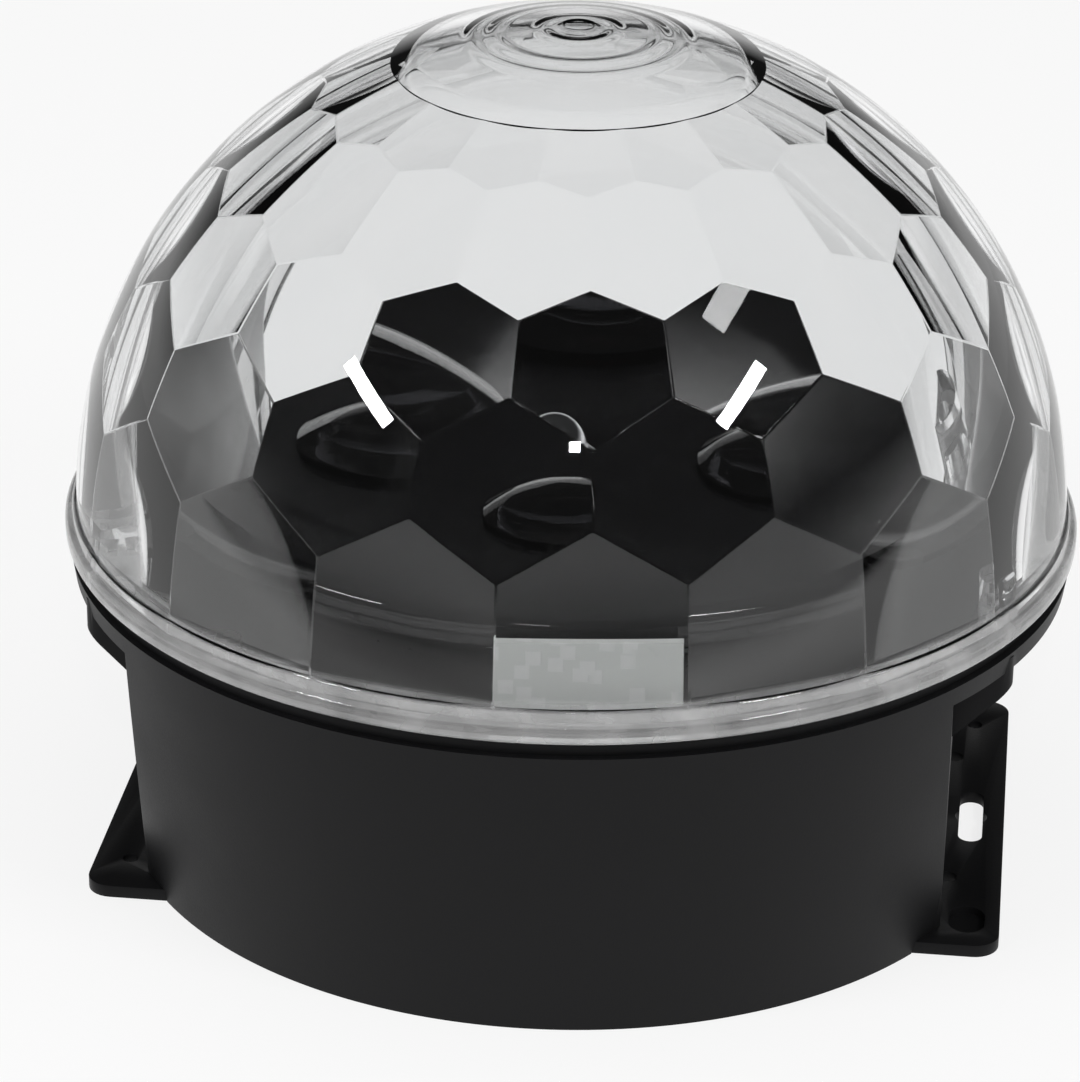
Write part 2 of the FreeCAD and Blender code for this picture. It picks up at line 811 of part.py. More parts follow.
def make_shaft():
    """Output shaft from the motor up through the carrier's hub to its nut."""
    z0 = motor_top() - motor_height / 2 + shaft_fit
    return disc(shaft_radius, z0, hub_top + nut_height)


def lens_spots():
    """Centres of the carrier's lenses."""
    return [polar(lamp_circle, 360 * i / lamp_count) for i in range(lamp_count)]


def make_carrier():
    """Glossy black dish that spins over the lamps and holds the lenses."""
    r, land, t = carrier_radius, carrier_land_radius, carrier_wall
    body = turned_part([
        (shaft_radius, carrier_land - t),
        (land - t / 2, carrier_land - t),
        (r - t, carrier_rim - t),
        (r - t, carrier_foot),
        (r, carrier_foot),
        (r, carrier_rim - t / 2),
        (r - t / 2, carrier_rim),
        (land, carrier_land),
        (shaft_radius, carrier_land),
    ])
    body = joined(body, [ring(hub_radius, shaft_radius, hub_top - hub_length, hub_top)])
    for x, y in lens_spots():
        body = body.cut(disc(lens_radius - lens_seat, carrier_land - 2 * t, carrier_land + overrun, x, y))
        body = body.cut(disc(lens_radius + lens_fit, carrier_land - t / 2, carrier_land + overrun, x, y))
    return body


def make_lenses():
    """Clear domed lenses that drop into the carrier's seats."""
    z0 = carrier_land - carrier_wall / 2
    bulge = (lens_radius ** 2 + lens_crown ** 2) / (2 * lens_crown)
    found = []
    for x, y in lens_spots():
        base = disc(lens_radius, z0, z0 + lens_thickness, x, y)
        ball = Part.makeSphere(bulge, vec(x, y, z0 + lens_thickness + lens_crown - bulge))
        crown = ball.common(disc(lens_radius, z0 + lens_thickness / 2,
                                 z0 + lens_thickness + lens_crown + overrun, x, y))
        found.append(joined(base, [crown]))
    return found


def make_nut():
    """Bright dome nut that holds the carrier on the shaft."""
    z0 = hub_top
    points = [polar(nut_radius, 60 * i) for i in range(6)]
    hexagon = prism(points, z0, z0 + nut_height)
    crown = Part.makeSphere(nut_crown, vec(0, 0, z0 + nut_height))
    crown = crown.cut(block(-nut_radius, nut_radius, -nut_radius, nut_radius,
                            z0 - nut_crown, z0 + nut_height / 2))
    body = joined(hexagon, [crown])
    return body.cut(disc(shaft_radius, z0 - overrun, z0 + nut_height))


def receiver_front():
    """Depth of the receiver board's front, clear of the dome's flange at its corners."""
    reach = inner_radius - flange_lip - receiver_inset
    return -math.sqrt(reach ** 2 - receiver_length ** 2 / 4)


def make_receiver_board():
    """White board that stands on the deck just behind the dome."""
    y0 = receiver_front()
    half = receiver_length / 2
    body = block(-half, half, y0, y0 + receiver_board_thickness, deck_top, deck_top + receiver_height)
    return turn(body, receiver_turn)


def make_receiver_foot():
    """Small block on the deck that the receiver board is fixed to."""
    y0 = receiver_front() + receiver_board_thickness
    half = receiver_foot_length / 2
    body = block(-half, half, y0, y0 + receiver_foot_width, deck_top, deck_top + receiver_foot_height)
    return turn(body, receiver_turn)


def make_receiver_eye():
    """Dark receiver lens on the board's inner side."""
    y0 = receiver_front() + receiver_board_thickness
    z = deck_top + receiver_eye_height
    return turn(rod_y(receiver_eye_radius, y0, y0 + receiver_eye_reach, 0, z), receiver_turn)


def make_receiver_lamps():
    """Two small signal lamps on the board's inner side."""
    y0 = receiver_front() + receiver_board_thickness
    z = deck_top + receiver_eye_height
    half = receiver_lamp_spacing / 2
    return [turn(rod_y(receiver_lamp_radius, y0, y0 + receiver_lamp_reach, x, z), receiver_turn)
            for x in (-half, half)]


def board_posts(length, width, y, x=0):
    """Corner posts under a board."""
    dx, dy = length / 2 - post_radius, width / 2 - post_radius
    spots = [(x + i * dx, y + j * dy) for i in (-1, 1) for j in (-1, 1)]
    return [disc(post_radius, plate_thickness, post_top, a, b) for a, b in spots]


def board(length, width, y, x=0):
    """A circuit board on its posts."""
    return block(x - length / 2, x + length / 2, y - width / 2, y + width / 2,
                 post_top, post_top + board_thickness)


def power_y():
    return power_board_setback


def control_y():
    return -control_board_setback


def make_coil():
    """Wound transformer on the power board: core legs about a wound bobbin."""
    z0 = post_top + board_thickness
    x = -power_board_length / 4
    y = power_y()
    l, w, h = coil_length / 2, coil_width / 2, coil_height
    core = block(x - l, x + l, y - w, y + w, z0, z0 + h)
    bobbin = rod_y(h / 2 - coil_gap, y - w - coil_gap, y + w + coil_gap, x, z0 + h / 2)
    return joined(core, [bobbin])


def make_cans():
    """Upright capacitors on the power board."""
    z0 = post_top + board_thickness
    x = power_board_length / 2 - can_radius - small_can_radius / 2
    y = power_y()
    found = [disc(can_radius, z0, z0 + can_height, x, y)]
    for side in (-1, 1):
        dy = side * (power_board_width / 2 - 2 * small_can_radius)
        dx = can_radius + 2 * small_can_radius
        found.append(disc(small_can_radius, z0, z0 + small_can_height, x - dx, y + dy))
    return found


def make_chips():
    """Driver chips on the control board."""
    z0 = post_top + board_thickness
    y = control_y()
    found = []
    for i in (-1, 0, 1):
        x = i * chip_pitch
        found.append(block(x - chip_length / 2, x + chip_length / 2, y - chip_width / 2,
                           y + chip_width / 2, z0, z0 + chip_height))
    return found


def make_board_plugs():
    """Wire sockets along the edges of both boards."""
    z0 = post_top + board_thickness
    found = []
    for x, y in ((-control_board_length / 4, control_y() + control_board_width / 2 - plug_width),
                 (control_board_length / 4, control_y() + control_board_width / 2 - plug_width),
                 (0, power_y() + power_board_width / 2 - plug_width)):
        body = block(x - plug_length / 2, x + plug_length / 2, y - plug_width / 2, y + plug_width / 2,
                     z0, z0 + plug_height)
        inside = block(x - plug_length / 2 + rib_thickness / 2, x + plug_length / 2 - rib_thickness / 2,
                       y - plug_width / 2 + rib_thickness / 2, y + plug_width / 2 - rib_thickness / 2,
                       z0 + plug_height / 2, z0 + plug_height + overrun)
        found.append(body.cut(inside))
    return found


def rear_face(z):
    """Depth of the leaning rear flat at this height."""
    return rear_y + flat_lean / drum_height * z


def fitting_face(height):
    """Outermost depth of the rear flat behind a fitting of this height."""
    return rear_face(fitting_height + height / 2)


def socket_prism(length, height, y0, y1, chamfer):
    """A six-sided block along Y whose two upper corners are cut off."""
    x, z = inlet_centre, fitting_height
    l, h, c = length / 2, height / 2, chamfer
    points = [vec(x - l, y0, z - h), vec(x + l, y0, z - h), vec(x + l, y0, z + h - c),
              vec(x + l - c, y0, z + h), vec(x - l + c, y0, z + h), vec(x - l, y0, z + h - c)]
    return Part.Face(Part.makePolygon(points + points[:1])).extrude(vec(0, y1 - y0, 0))


def make_inlet():
    """Mains inlet: face plate, body through the wall and a socket with cut corners."""
    x, z = inlet_centre, fitting_height
    y0 = fitting_face(inlet_face_height)
    y1 = y0 + inlet_face_thickness
    l, h = inlet_face_length / 2, inlet_face_height / 2
    face = block(x - l, x + l, y0, y1, z - h, z + h)
    l, h = inlet_body_length / 2, inlet_body_height / 2
    body = joined(face, [block(x - l, x + l, y0 - inlet_depth, y0 + overrun, z - h, z + h)])
    return body.cut(socket_prism(socket_length, socket_height, y1 - socket_depth, y1 + overrun,
                                 socket_chamfer))


def make_blades():
    """Three contact blades that stand in the inlet's socket."""
    x, z = inlet_centre, fitting_height
    y1 = fitting_face(inlet_face_height) + inlet_face_thickness
    floor = y1 - socket_depth
    t, l = blade_thickness / 2, blade_length / 2
    found = []
    for dx, dz in ((-blade_spacing, -blade_drop), (blade_spacing, -blade_drop), (0, earth_rise)):
        found.append(block(x + dx - t, x + dx + t, floor, floor + blade_reach, z + dz - l, z + dz + l))
    return found


def make_switch_frame():
    """Frame and body of the power switch, hollow where the rocker tips."""
    x, z = switch_centre, fitting_height
    y0 = fitting_face(switch_face_length)
    y1 = y0 + switch_face_thickness
    w, l = switch_face_width / 2, switch_face_length / 2
    face = block(x - w, x + w, y0, y1, z - l, z + l)
    w, l = switch_body_width / 2, switch_body_length / 2
    body = joined(face, [block(x - w, x + w, y0 - switch_depth, y0 + overrun, z - l, z + l)])
    w, l = w - switch_rim(), l - switch_rim()
    well = block(x - w, x + w, y1 - rocker_well(), y1 + overrun, z - l, z + l)
    return body.cut(well)


def switch_rim():
    """Wall of the switch's frame about its rocker."""
    return switch_face_thickness / 2


def rocker_well():
    """Depth of the hollow that the rocker tips in."""
    return 2 * rocker_pivot_depth + switch_face_thickness


def rocker_pivot_y():
    return fitting_face(switch_face_length) + switch_face_thickness - rocker_pivot_depth


def make_rocker():
    """Two-way rocker, its face hollowed and one end pressed in."""
    x, z = switch_centre, fitting_height
    y = rocker_pivot_y()
    w = switch_body_width / 2 - switch_rim() - rocker_gap
    l = switch_body_length / 2 - switch_rim() - 2 * rocker_gap
    front = y + rocker_pivot_depth + switch_face_thickness
    back = y - rocker_pivot_radius
    body = block(x - w, x + w, back, front, z - l, z + l)
    dish = Part.makeCylinder(rocker_radius, 2 * w + 2 * overrun,
                             vec(x - w - overrun, front + rocker_radius - switch_face_thickness, z),
                             vec(1, 0, 0))
    body = body.cut(dish)
    body.rotate(vec(x, y, z), vec(1, 0, 0), rocker_swing)
    return body


def make_fuse_holder():
    """Round fuse holder: collar, body and a slotted cap."""
    x, z = fuse_centre, fitting_height
    y0 = fitting_face(2 * fuse_radius)
    y1 = y0 + fuse_face_thickness
    body = rod_y(fuse_radius, y0, y1, x, z)
    return joined(body, [rod_y(fuse_body_radius, y0 - fuse_depth, y0 + overrun, x, z)])


def make_fuse_cap():
    """Slotted cap of the fuse holder."""
    x, z = fuse_centre, fitting_height
    y0 = fitting_face(2 * fuse_radius) + fuse_face_thickness
    cap = rod_y(fuse_cap_radius, y0, y0 + fuse_cap_height, x, z)
    half = recess_width / 2
    return cap.cut(block(x - fuse_radius, x + fuse_radius, y0 + fuse_cap_height / 2,
                         y0 + fuse_cap_height + overrun, z - half, z + half))


def make_pot():
    """Sensitivity control: body inside the wall and bush through it."""
    x, z = knob_centre, fitting_height
    y_wall = rear_face(z) - drum_wall
    body = rod_y(pot_radius, y_wall - flat_lean - pot_depth, y_wall - flat_lean, x, z)
    bush = rod_y(bush_radius, y_wall - flat_lean - overrun, rear_face(z) + bush_reach, x, z)
    body = joined(body, [bush])
    return body.cut(rod_y(spindle_radius + shaft_fit, y_wall - flat_lean - pot_depth / 2,
                          rear_face(z) + 2 * bush_reach, x, z))


def make_knob():
    """Fluted knob with a pointer groove, on its spindle."""
    x, z = knob_centre, fitting_height
    y0 = rear_face(z) + bush_reach + knob_gap
    body = rod_y(knob_radius, y0, y0 + knob_height, x, z)
    for i in range(knob_flute_count):
        a = 2 * math.pi * (i + 1 / 2) / knob_flute_count
        cx, cz = x + knob_radius * math.cos(a), z + knob_radius * math.sin(a)
        body = body.cut(rod_y(knob_flute_radius, y0 + knob_gap, y0 + knob_height + overrun, cx, cz))
    half = recess_width / 2
    body = body.cut(block(x - half, x + half, y0 + knob_height - recess_depth,
                          y0 + knob_height + overrun, z, z + 2 * knob_radius))
    y_in = rear_face(z) - drum_wall - flat_lean - pot_depth / 2 + shaft_fit
    return joined(body, [rod_y(spindle_radius, y_in, y0 + overrun, x, z)])


def make_mic():
    """Round microphone behind the sound holes."""
    z = mic_height
    y1 = rear_face(z - mic_radius) - drum_wall
    return rod_y(mic_radius, y1 - mic_depth, y1, mic_centre, z)


def export(name, shape):
    """Write one node; several solids in a list share the node."""
    if isinstance(shape, (list, tuple)):
        shape = Part.makeCompound(list(shape))
    shape.exportStep(os.path.join("parts", name + ".step"))


def main():
    os.makedirs("parts", exist_ok=True)
    nodes = {
        "dome": make_dome(),
        "dome_gasket": make_gasket(),
        "dome_screws": make_dome_screws(),
        "housing": make_housing(),
        "base_plate": make_base_plate(),
        "base_screws": make_base_screws(),
        "deck": make_deck(),
        "deck_screws": make_deck_screws(),
        "heat_sink": make_heat_sink(),
        "lamp_board": make_lamp_board(),
        "red_lamps": lamps(0),
        "green_lamps": lamps(1),
        "blue_lamps": lamps(2),
        "reflector_cups": make_cups(),
        "motor": make_motor(),
        "motor_spacers": make_motor_spacers(),
        "motor_screws": make_motor_screws(),
        "motor_shaft": make_shaft(),
        "lens_carrier": make_carrier(),
        "carrier_lenses": make_lenses(),
        "carrier_nut": make_nut(),
        "receiver_board": make_receiver_board(),
        "receiver_foot": make_receiver_foot(),
        "receiver_eye": make_receiver_eye(),
        "receiver_lamps": make_receiver_lamps(),
        "power_board": board(power_board_length, power_board_width, power_y()),
        "power_board_posts": board_posts(power_board_length, power_board_width, power_y()),
        "transformer": make_coil(),
        "capacitors": make_cans(),
        "control_board": board(control_board_length, control_board_width, control_y()),
        "control_board_posts": board_posts(control_board_length, control_board_width, control_y()),
        "control_chips": make_chips(),
        "board_sockets": make_board_plugs(),
        "mains_inlet": make_inlet(),
        "inlet_blades": make_blades(),
        "switch_frame": make_switch_frame(),
        "switch_rocker": make_rocker(),
        "fuse_holder": make_fuse_holder(),
        "fuse_cap": make_fuse_cap(),
        "sensitivity_control": make_pot(),
        "sensitivity_knob": make_knob(),
        "microphone": make_mic(),
    }
    for name, shape in nodes.items():
        export(name, shape)
        parts = shape if isinstance(shape, (list, tuple)) else [shape]
        for p in parts:
            if not p.isValid() or len(p.Solids) != 1:
                print("check", name, p.isValid(), len(p.Solids))


main()
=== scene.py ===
"""A table-top disco light: a clear faceted dome over a glossy black dish, on a short black drum."""

import json
import logging
import math
from collections.abc import Callable, Iterable, Sequence
from dataclasses import dataclass, field
from enum import Enum

import bpy
from mathutils import Matrix, Vector

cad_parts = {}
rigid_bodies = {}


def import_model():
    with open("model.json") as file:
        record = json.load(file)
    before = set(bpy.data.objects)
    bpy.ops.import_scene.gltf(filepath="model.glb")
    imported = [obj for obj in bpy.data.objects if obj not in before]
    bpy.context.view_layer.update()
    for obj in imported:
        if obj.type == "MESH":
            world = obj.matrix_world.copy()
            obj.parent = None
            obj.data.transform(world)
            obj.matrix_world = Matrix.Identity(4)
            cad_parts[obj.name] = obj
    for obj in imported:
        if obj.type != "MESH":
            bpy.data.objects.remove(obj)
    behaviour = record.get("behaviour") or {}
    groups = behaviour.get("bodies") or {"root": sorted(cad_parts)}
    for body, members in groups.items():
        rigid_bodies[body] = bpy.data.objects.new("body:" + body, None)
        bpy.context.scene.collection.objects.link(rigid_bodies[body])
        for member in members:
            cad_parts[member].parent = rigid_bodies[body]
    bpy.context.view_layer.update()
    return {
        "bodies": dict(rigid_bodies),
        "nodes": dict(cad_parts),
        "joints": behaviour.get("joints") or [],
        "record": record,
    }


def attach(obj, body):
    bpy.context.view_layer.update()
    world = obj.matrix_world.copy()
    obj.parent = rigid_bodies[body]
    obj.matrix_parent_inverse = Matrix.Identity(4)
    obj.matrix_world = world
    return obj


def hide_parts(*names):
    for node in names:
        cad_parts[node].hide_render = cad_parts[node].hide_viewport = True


LOG = logging.getLogger("disco_light")
MM = 0.001
FULL_TURN = 2 * math.pi

# Doubles nearer than this are merged, in metres
MERGE = 0.00001
FINE_MERGE = 0.000005

# Sizes in mm that several pieces share, and the angle of the dome's screws from the front
SCREW_HOLE = 1.56
SCREW_WELL = 3.2
LUG_ANGLE = 64.5
SCREW_CIRCLE = 91.0
PLATE_SCREW_CIRCLE = 81.5
WHITE = (1.0, 1.0, 1.0)
# White of the painted highlight on the dome's flange
PAINTED_HIGHLIGHT_WHITE = (0.9, 0.9, 0.9)

Point = tuple[float, float]
Place = tuple[float, float, float]
Colour = tuple[float, float, float]


class Body(Enum):
    """The bodies that pieces ride on."""

    STAND = "stand"
    ROTOR = "rotor"
    ROCKER = "rocker"
    KNOB = "knob"


class Link:
    """A shader socket that Python's own signs work on.

    Args:
        tree: The node tree that new nodes go to.
        socket: The output that this link stands for.
    """

    def __init__(self, tree: bpy.types.NodeTree, socket: bpy.types.NodeSocket) -> None:
        self.tree = tree
        self.socket = socket

    def _maths(self, operation: str, *values: "Link | float") -> "Link":
        """Add one Math node on these values.

        Args:
            operation: The Math node's operation.
            values: Links or numbers, in the node's order.

        Returns:
            The node's result.
        """
        node = self.tree.nodes.new("ShaderNodeMath")
        node.operation = operation
        for slot, value in zip(node.inputs, values):
            if isinstance(value, Link):
                self.tree.links.new(value.socket, slot)
            else:
                slot.default_value = value
        return Link(self.tree, node.outputs[0])

    def __add__(self, other: "Link | float") -> "Link":
        """Sum."""
        return self._maths("ADD", self, other)

    def __sub__(self, other: "Link | float") -> "Link":
        """Difference."""
        return self._maths("SUBTRACT", self, other)

    def __mul__(self, other: "Link | float") -> "Link":
        """Product."""
        return self._maths("MULTIPLY", self, other)

    def __rsub__(self, other: float) -> "Link":
        """A number less this link."""
        return self._maths("SUBTRACT", other, self)

    __radd__ = __add__
    __rmul__ = __mul__

    def clamp(self) -> "Link":
        """Hold the value between 0 and 1."""
        return self._maths("MINIMUM", self._maths("MAXIMUM", self, 0.0), 1.0)

    def or_else(self, other: "Link") -> "Link":
        """The larger of two values."""
        return self._maths("MAXIMUM", self, other)


class Graph:
    """A node tree and the one way in which nodes are made in it.

    Args:
        tree: The node tree, which is emptied first.
    """

    def __init__(self, tree: bpy.types.NodeTree) -> None:
        self.tree = tree
        tree.nodes.clear()

    def node(
        self,
        kind: str,
        settings: dict[str, object] | None = None,
        values: dict[str | int, object] | None = None,
    ) -> bpy.types.Node:
        """Make one node, its settings first and then its sockets.

        Args:
            kind: The node's type.
            settings: Properties such as a mode or an operation.
            values: Numbers, colours or links, by the socket's name or number.

        Returns:
            The node.
        """
        made = self.tree.nodes.new(kind)
        for name, value in (settings or {}).items():
            setattr(made, name, value)
        for name, value in (values or {}).items():
            slot = made.inputs[name]
            if isinstance(value, Link):
                self.tree.links.new(value.socket, slot)
            elif isinstance(value, tuple) and len(value) == 3 and slot.type == "RGBA":
                slot.default_value = (*value, 1.0)
            else:
                slot.default_value = value
        return made

    def out_of(self, node: bpy.types.Node, name: str | int = 0) -> Link:
        """One output of a node as a link."""
        return Link(self.tree, node.outputs[name])

    def part(self, vector: Link, axis: str) -> Link:
        """The X, Y or Z of a vector."""
        return self.out_of(self.node("ShaderNodeSeparateXYZ", values={"Vector": vector}), axis)

    def mixed(self, share: Link, first: Link, second: Link) -> Link:
        """Mix two shaders.

        Args:
            share: 0 gives the first shader, 1 the second.
            first: A shader.
            second: A shader.

        Returns:
            The mixed shader.
        """
        return self.out_of(self.node("ShaderNodeMixShader", values={0: share, 1: first, 2: second}))


class Paint(Graph):
    """One material and its nodes.

    Args:
        name: The material's name.
    """

    def __init__(self, name: str) -> None:
        self.material = bpy.data.materials.new(name)
        self.material.use_nodes = True
        super().__init__(self.material.node_tree)

    def place(self) -> Link:
        """The surface's own place, in metres."""
        return self.out_of(self.node("ShaderNodeTexCoord"), "Object")

    def noise(self, scale: float, detail: float = 3.0, stretch: Place = (1.0, 1.0, 1.0)) -> Link:
        """Soft noise over the surface.

        Args:
            scale: Grains to the metre.
            detail: Octaves.
            stretch: How much denser the noise is along each axis.

        Returns:
            A value about 0.5.
        """
        mapped = self.node("ShaderNodeMapping", values={"Vector": self.place(), "Scale": stretch})
        grain = self.node(
            "ShaderNodeTexNoise",
            values={"Vector": self.out_of(mapped), "Scale": scale, "Detail": detail},
        )
        return self.out_of(grain, 0)

    def blend(self, share: Link, first: Colour | Link, second: Colour | Link) -> Link:
        """Mix two colours.

        Args:
            share: 0 gives the first colour, 1 the second.
            first: A colour or a link.
            second: A colour or a link.

        Returns:
            The mixed colour.
        """
        values = {0: share, 6: first, 7: second}
        return self.out_of(self.node("ShaderNodeMix", {"data_type": "RGBA"}, values), 2)

    def bump(self, height: Link, depth: float, strength: float = 1.0) -> Link:
        """Turn a height into a normal.

        Args:
            height: The height field.
            depth: Its depth in metres.
            strength: How much of it shows.

        Returns:
            The normal.
        """
        values = {"Height": height, "Distance": depth, "Strength": strength}
        return self.out_of(self.node("ShaderNodeBump", values=values))

    def shader(self, values: dict[str, object]) -> Link:
        """A Principled shader with these sockets."""
        return self.out_of(self.node("ShaderNodeBsdfPrincipled", values=values))

    def done(self, shader: Link) -> bpy.types.Material:
        """Put a shader on the surface and return the material."""
        self.node("ShaderNodeOutputMaterial", values={"Surface": shader})
        return self.material

    def surface(self, values: dict[str, object]) -> bpy.types.Material:
        """Finish with one Principled shader and return the material."""
        return self.done(self.shader(values))


@dataclass(frozen=True)
class Moulded:
    """Opaque moulded plastic with a fine grain.

    Args:
        name: The finish's name.
        colour: Its colour.
        shade: Colour where dust or wear lightens it.
        roughness: Middle roughness.
        spread: How far the roughness wanders.
        grain: Grains to the metre.
        depth: Depth of the grain in metres.
        shine: Strength of its reflections, 0.5 for bare plastic.
    """

    name: str
    colour: Colour
    shade: Colour
    roughness: float = 0.5
    spread: float = 0.12
    grain: float = 2600.0
    depth: float = 0.00003
    shine: float = 0.3

    def make(self) -> bpy.types.Material:
        """Build the material."""
        paint = Paint(self.name)
        cloud = paint.noise(38.0, 4.0)
        fine = paint.noise(self.grain, 2.0)
        rough = (cloud - 0.5) * self.spread * 2.0 + (fine - 0.5) * self.spread + self.roughness
        return paint.surface({
            "Base Color": paint.blend((cloud - 0.35).clamp(), self.colour, self.shade),
            "Roughness": rough.clamp(),
            "Specular IOR Level": self.shine,
            "Normal": paint.bump(fine, self.depth, 0.6),
        })


@dataclass(frozen=True)
class Polished:
    """Polished opaque plastic with faint flow waves.

    Args:
        name: The finish's name.
        colour: Its colour.
        roughness: Middle roughness.
        coat: Weight of the clear skin.
    """

    name: str
    colour: Colour
    roughness: float = 0.08
    coat: float = 0.0

    def make(self) -> bpy.types.Material:
        """Build the material."""
        paint = Paint(self.name)
        wave = paint.noise(45.0, 2.0)
        haze = paint.noise(220.0, 3.0)
        pale = tuple(min(1.0, c * 1.5 + 0.002) for c in self.colour)
        return paint.surface({
            "Base Color": paint.blend((haze - 0.4).clamp(), self.colour, pale),
            "Roughness": ((haze - 0.5) * 0.06 + self.roughness).clamp(),
            "Coat Weight": self.coat,
            "Normal": paint.bump(wave, 0.0004, 0.15),
        })


@dataclass(frozen=True)
class Clear:
    """Clear moulded plastic.

    Args:
        name: The finish's name.
        tint: Its faint colour.
        roughness: Roughness of the polish.
        ior: Refractive index.
        wave: Depth of the moulding's waves in metres.
        painted_highlight_below: Height in metres under which white is painted into the glass, over
            the flange.
        painted_highlight: Share of that painted white, which stands in for the flange's bright
            highlights.
    """

    name: str
    tint: Colour = (0.97, 0.98, 0.985)
    roughness: float = 0.012
    ior: float = 1.49
    wave: float = 0.00012
    painted_highlight_below: float = 0.0
    painted_highlight: float = 0.0

    def make(self) -> bpy.types.Material:
        """Build the material."""
        paint = Paint(self.name)
        flow = paint.noise(24.0, 2.0)
        haze = paint.noise(90.0, 3.0)
        pale = tuple(min(1.0, c * 1.03) for c in self.tint)
        clear = paint.shader({
            "Base Color": paint.blend(haze, self.tint, pale),
            "Roughness": ((haze - 0.5) * 0.02 + self.roughness).clamp(),
            "IOR": self.ior,
            "Transmission Weight": 1.0,
            "Normal": paint.bump(flow, self.wave, 0.25),
        })
        if not self.painted_highlight:
            return paint.done(clear)
        # Painted highlight: diffuse white mixed into the glass below this height, over the flange,
        # stands in for its bright highlights
        low = ((self.painted_highlight_below - paint.part(paint.place(), "Z")) * 2000.0).clamp()
        white = paint.out_of(paint.node("ShaderNodeBsdfDiffuse", values={"Color": PAINTED_HIGHLIGHT_WHITE}))
        return paint.done(paint.mixed(low * (haze * self.painted_highlight * 2.0), clear, white))


@dataclass(frozen=True)
class Metal:
    """Plain or plated metal.

    Args:
        name: The finish's name.
        colour: Its colour.
        roughness: Middle roughness.
        brushed: Strength of the drawn or turned grain.
        stretch: How the grain is drawn out along the axes.
    """

    name: str
    colour: Colour
    roughness: float = 0.28
    brushed: float = 0.3
    stretch: Place = (1.0, 1.0, 12.0)

    def make(self) -> bpy.types.Material:
        """Build the material."""
        paint = Paint(self.name)
        grain = paint.noise(900.0, 2.0, self.stretch)
        stain = paint.noise(60.0, 3.0)
        dark = tuple(c * 0.72 for c in self.colour)
        return paint.surface({
            "Base Color": paint.blend((stain - 0.3).clamp(), dark, self.colour),
            "Metallic": 1.0,
            "Roughness": ((stain - 0.5) * 0.15 + (grain - 0.5) * 0.12 + self.roughness).clamp(),
            "Normal": paint.bump(grain, 0.00004, self.brushed),
        })


@dataclass(frozen=True)
class Lacquered:
    """A lacquered circuit board with tracks under its coat.

    Args:
        name: The finish's name.
        colour: Colour of the lacquer.
        track: Colour over a copper track.
    """

    name: str
    colour: Colour
    track: Colour

    def make(self) -> bpy.types.Material:
        """Build the material."""
        paint = Paint(self.name)
        values = {"Vector": paint.place(), "Scale": 260.0}
        cells = paint.node("ShaderNodeTexVoronoi", {"distance": "CHEBYCHEV"}, values)
        values = {"Value": paint.out_of(cells, "Distance"), "From Min": 0.30, "From Max": 0.36}
        mask = paint.out_of(paint.node("ShaderNodeMapRange", values=values))
        return paint.surface({
            "Base Color": paint.blend(mask, self.colour, self.track),
            "Roughness": ((paint.noise(500.0) - 0.5) * 0.12 + 0.3).clamp(),
            "Normal": paint.bump(mask, 0.00006, 0.5),
        })


@dataclass(frozen=True)
class Tinted:
    """A lamp's tinted clear bead, glowing faintly.

    Args:
        name: The finish's name.
        colour: Its colour.
        glow: Strength of its light.
    """

    name: str
    colour: Colour
    glow: float = 0.35

    def make(self) -> bpy.types.Material:
        """Build the material."""
        paint = Paint(self.name)
        cloud = paint.noise(700.0)
        pale = tuple(min(1.0, 0.35 + 0.65 * c) for c in self.colour)
        return paint.surface({
            "Base Color": paint.blend((cloud - 0.3).clamp(), self.colour, pale),
            "Roughness": (cloud * 0.1 + 0.08).clamp(),
            "Emission Color": paint.blend(cloud, self.colour, pale),
            "Emission Strength": self.glow,
        })


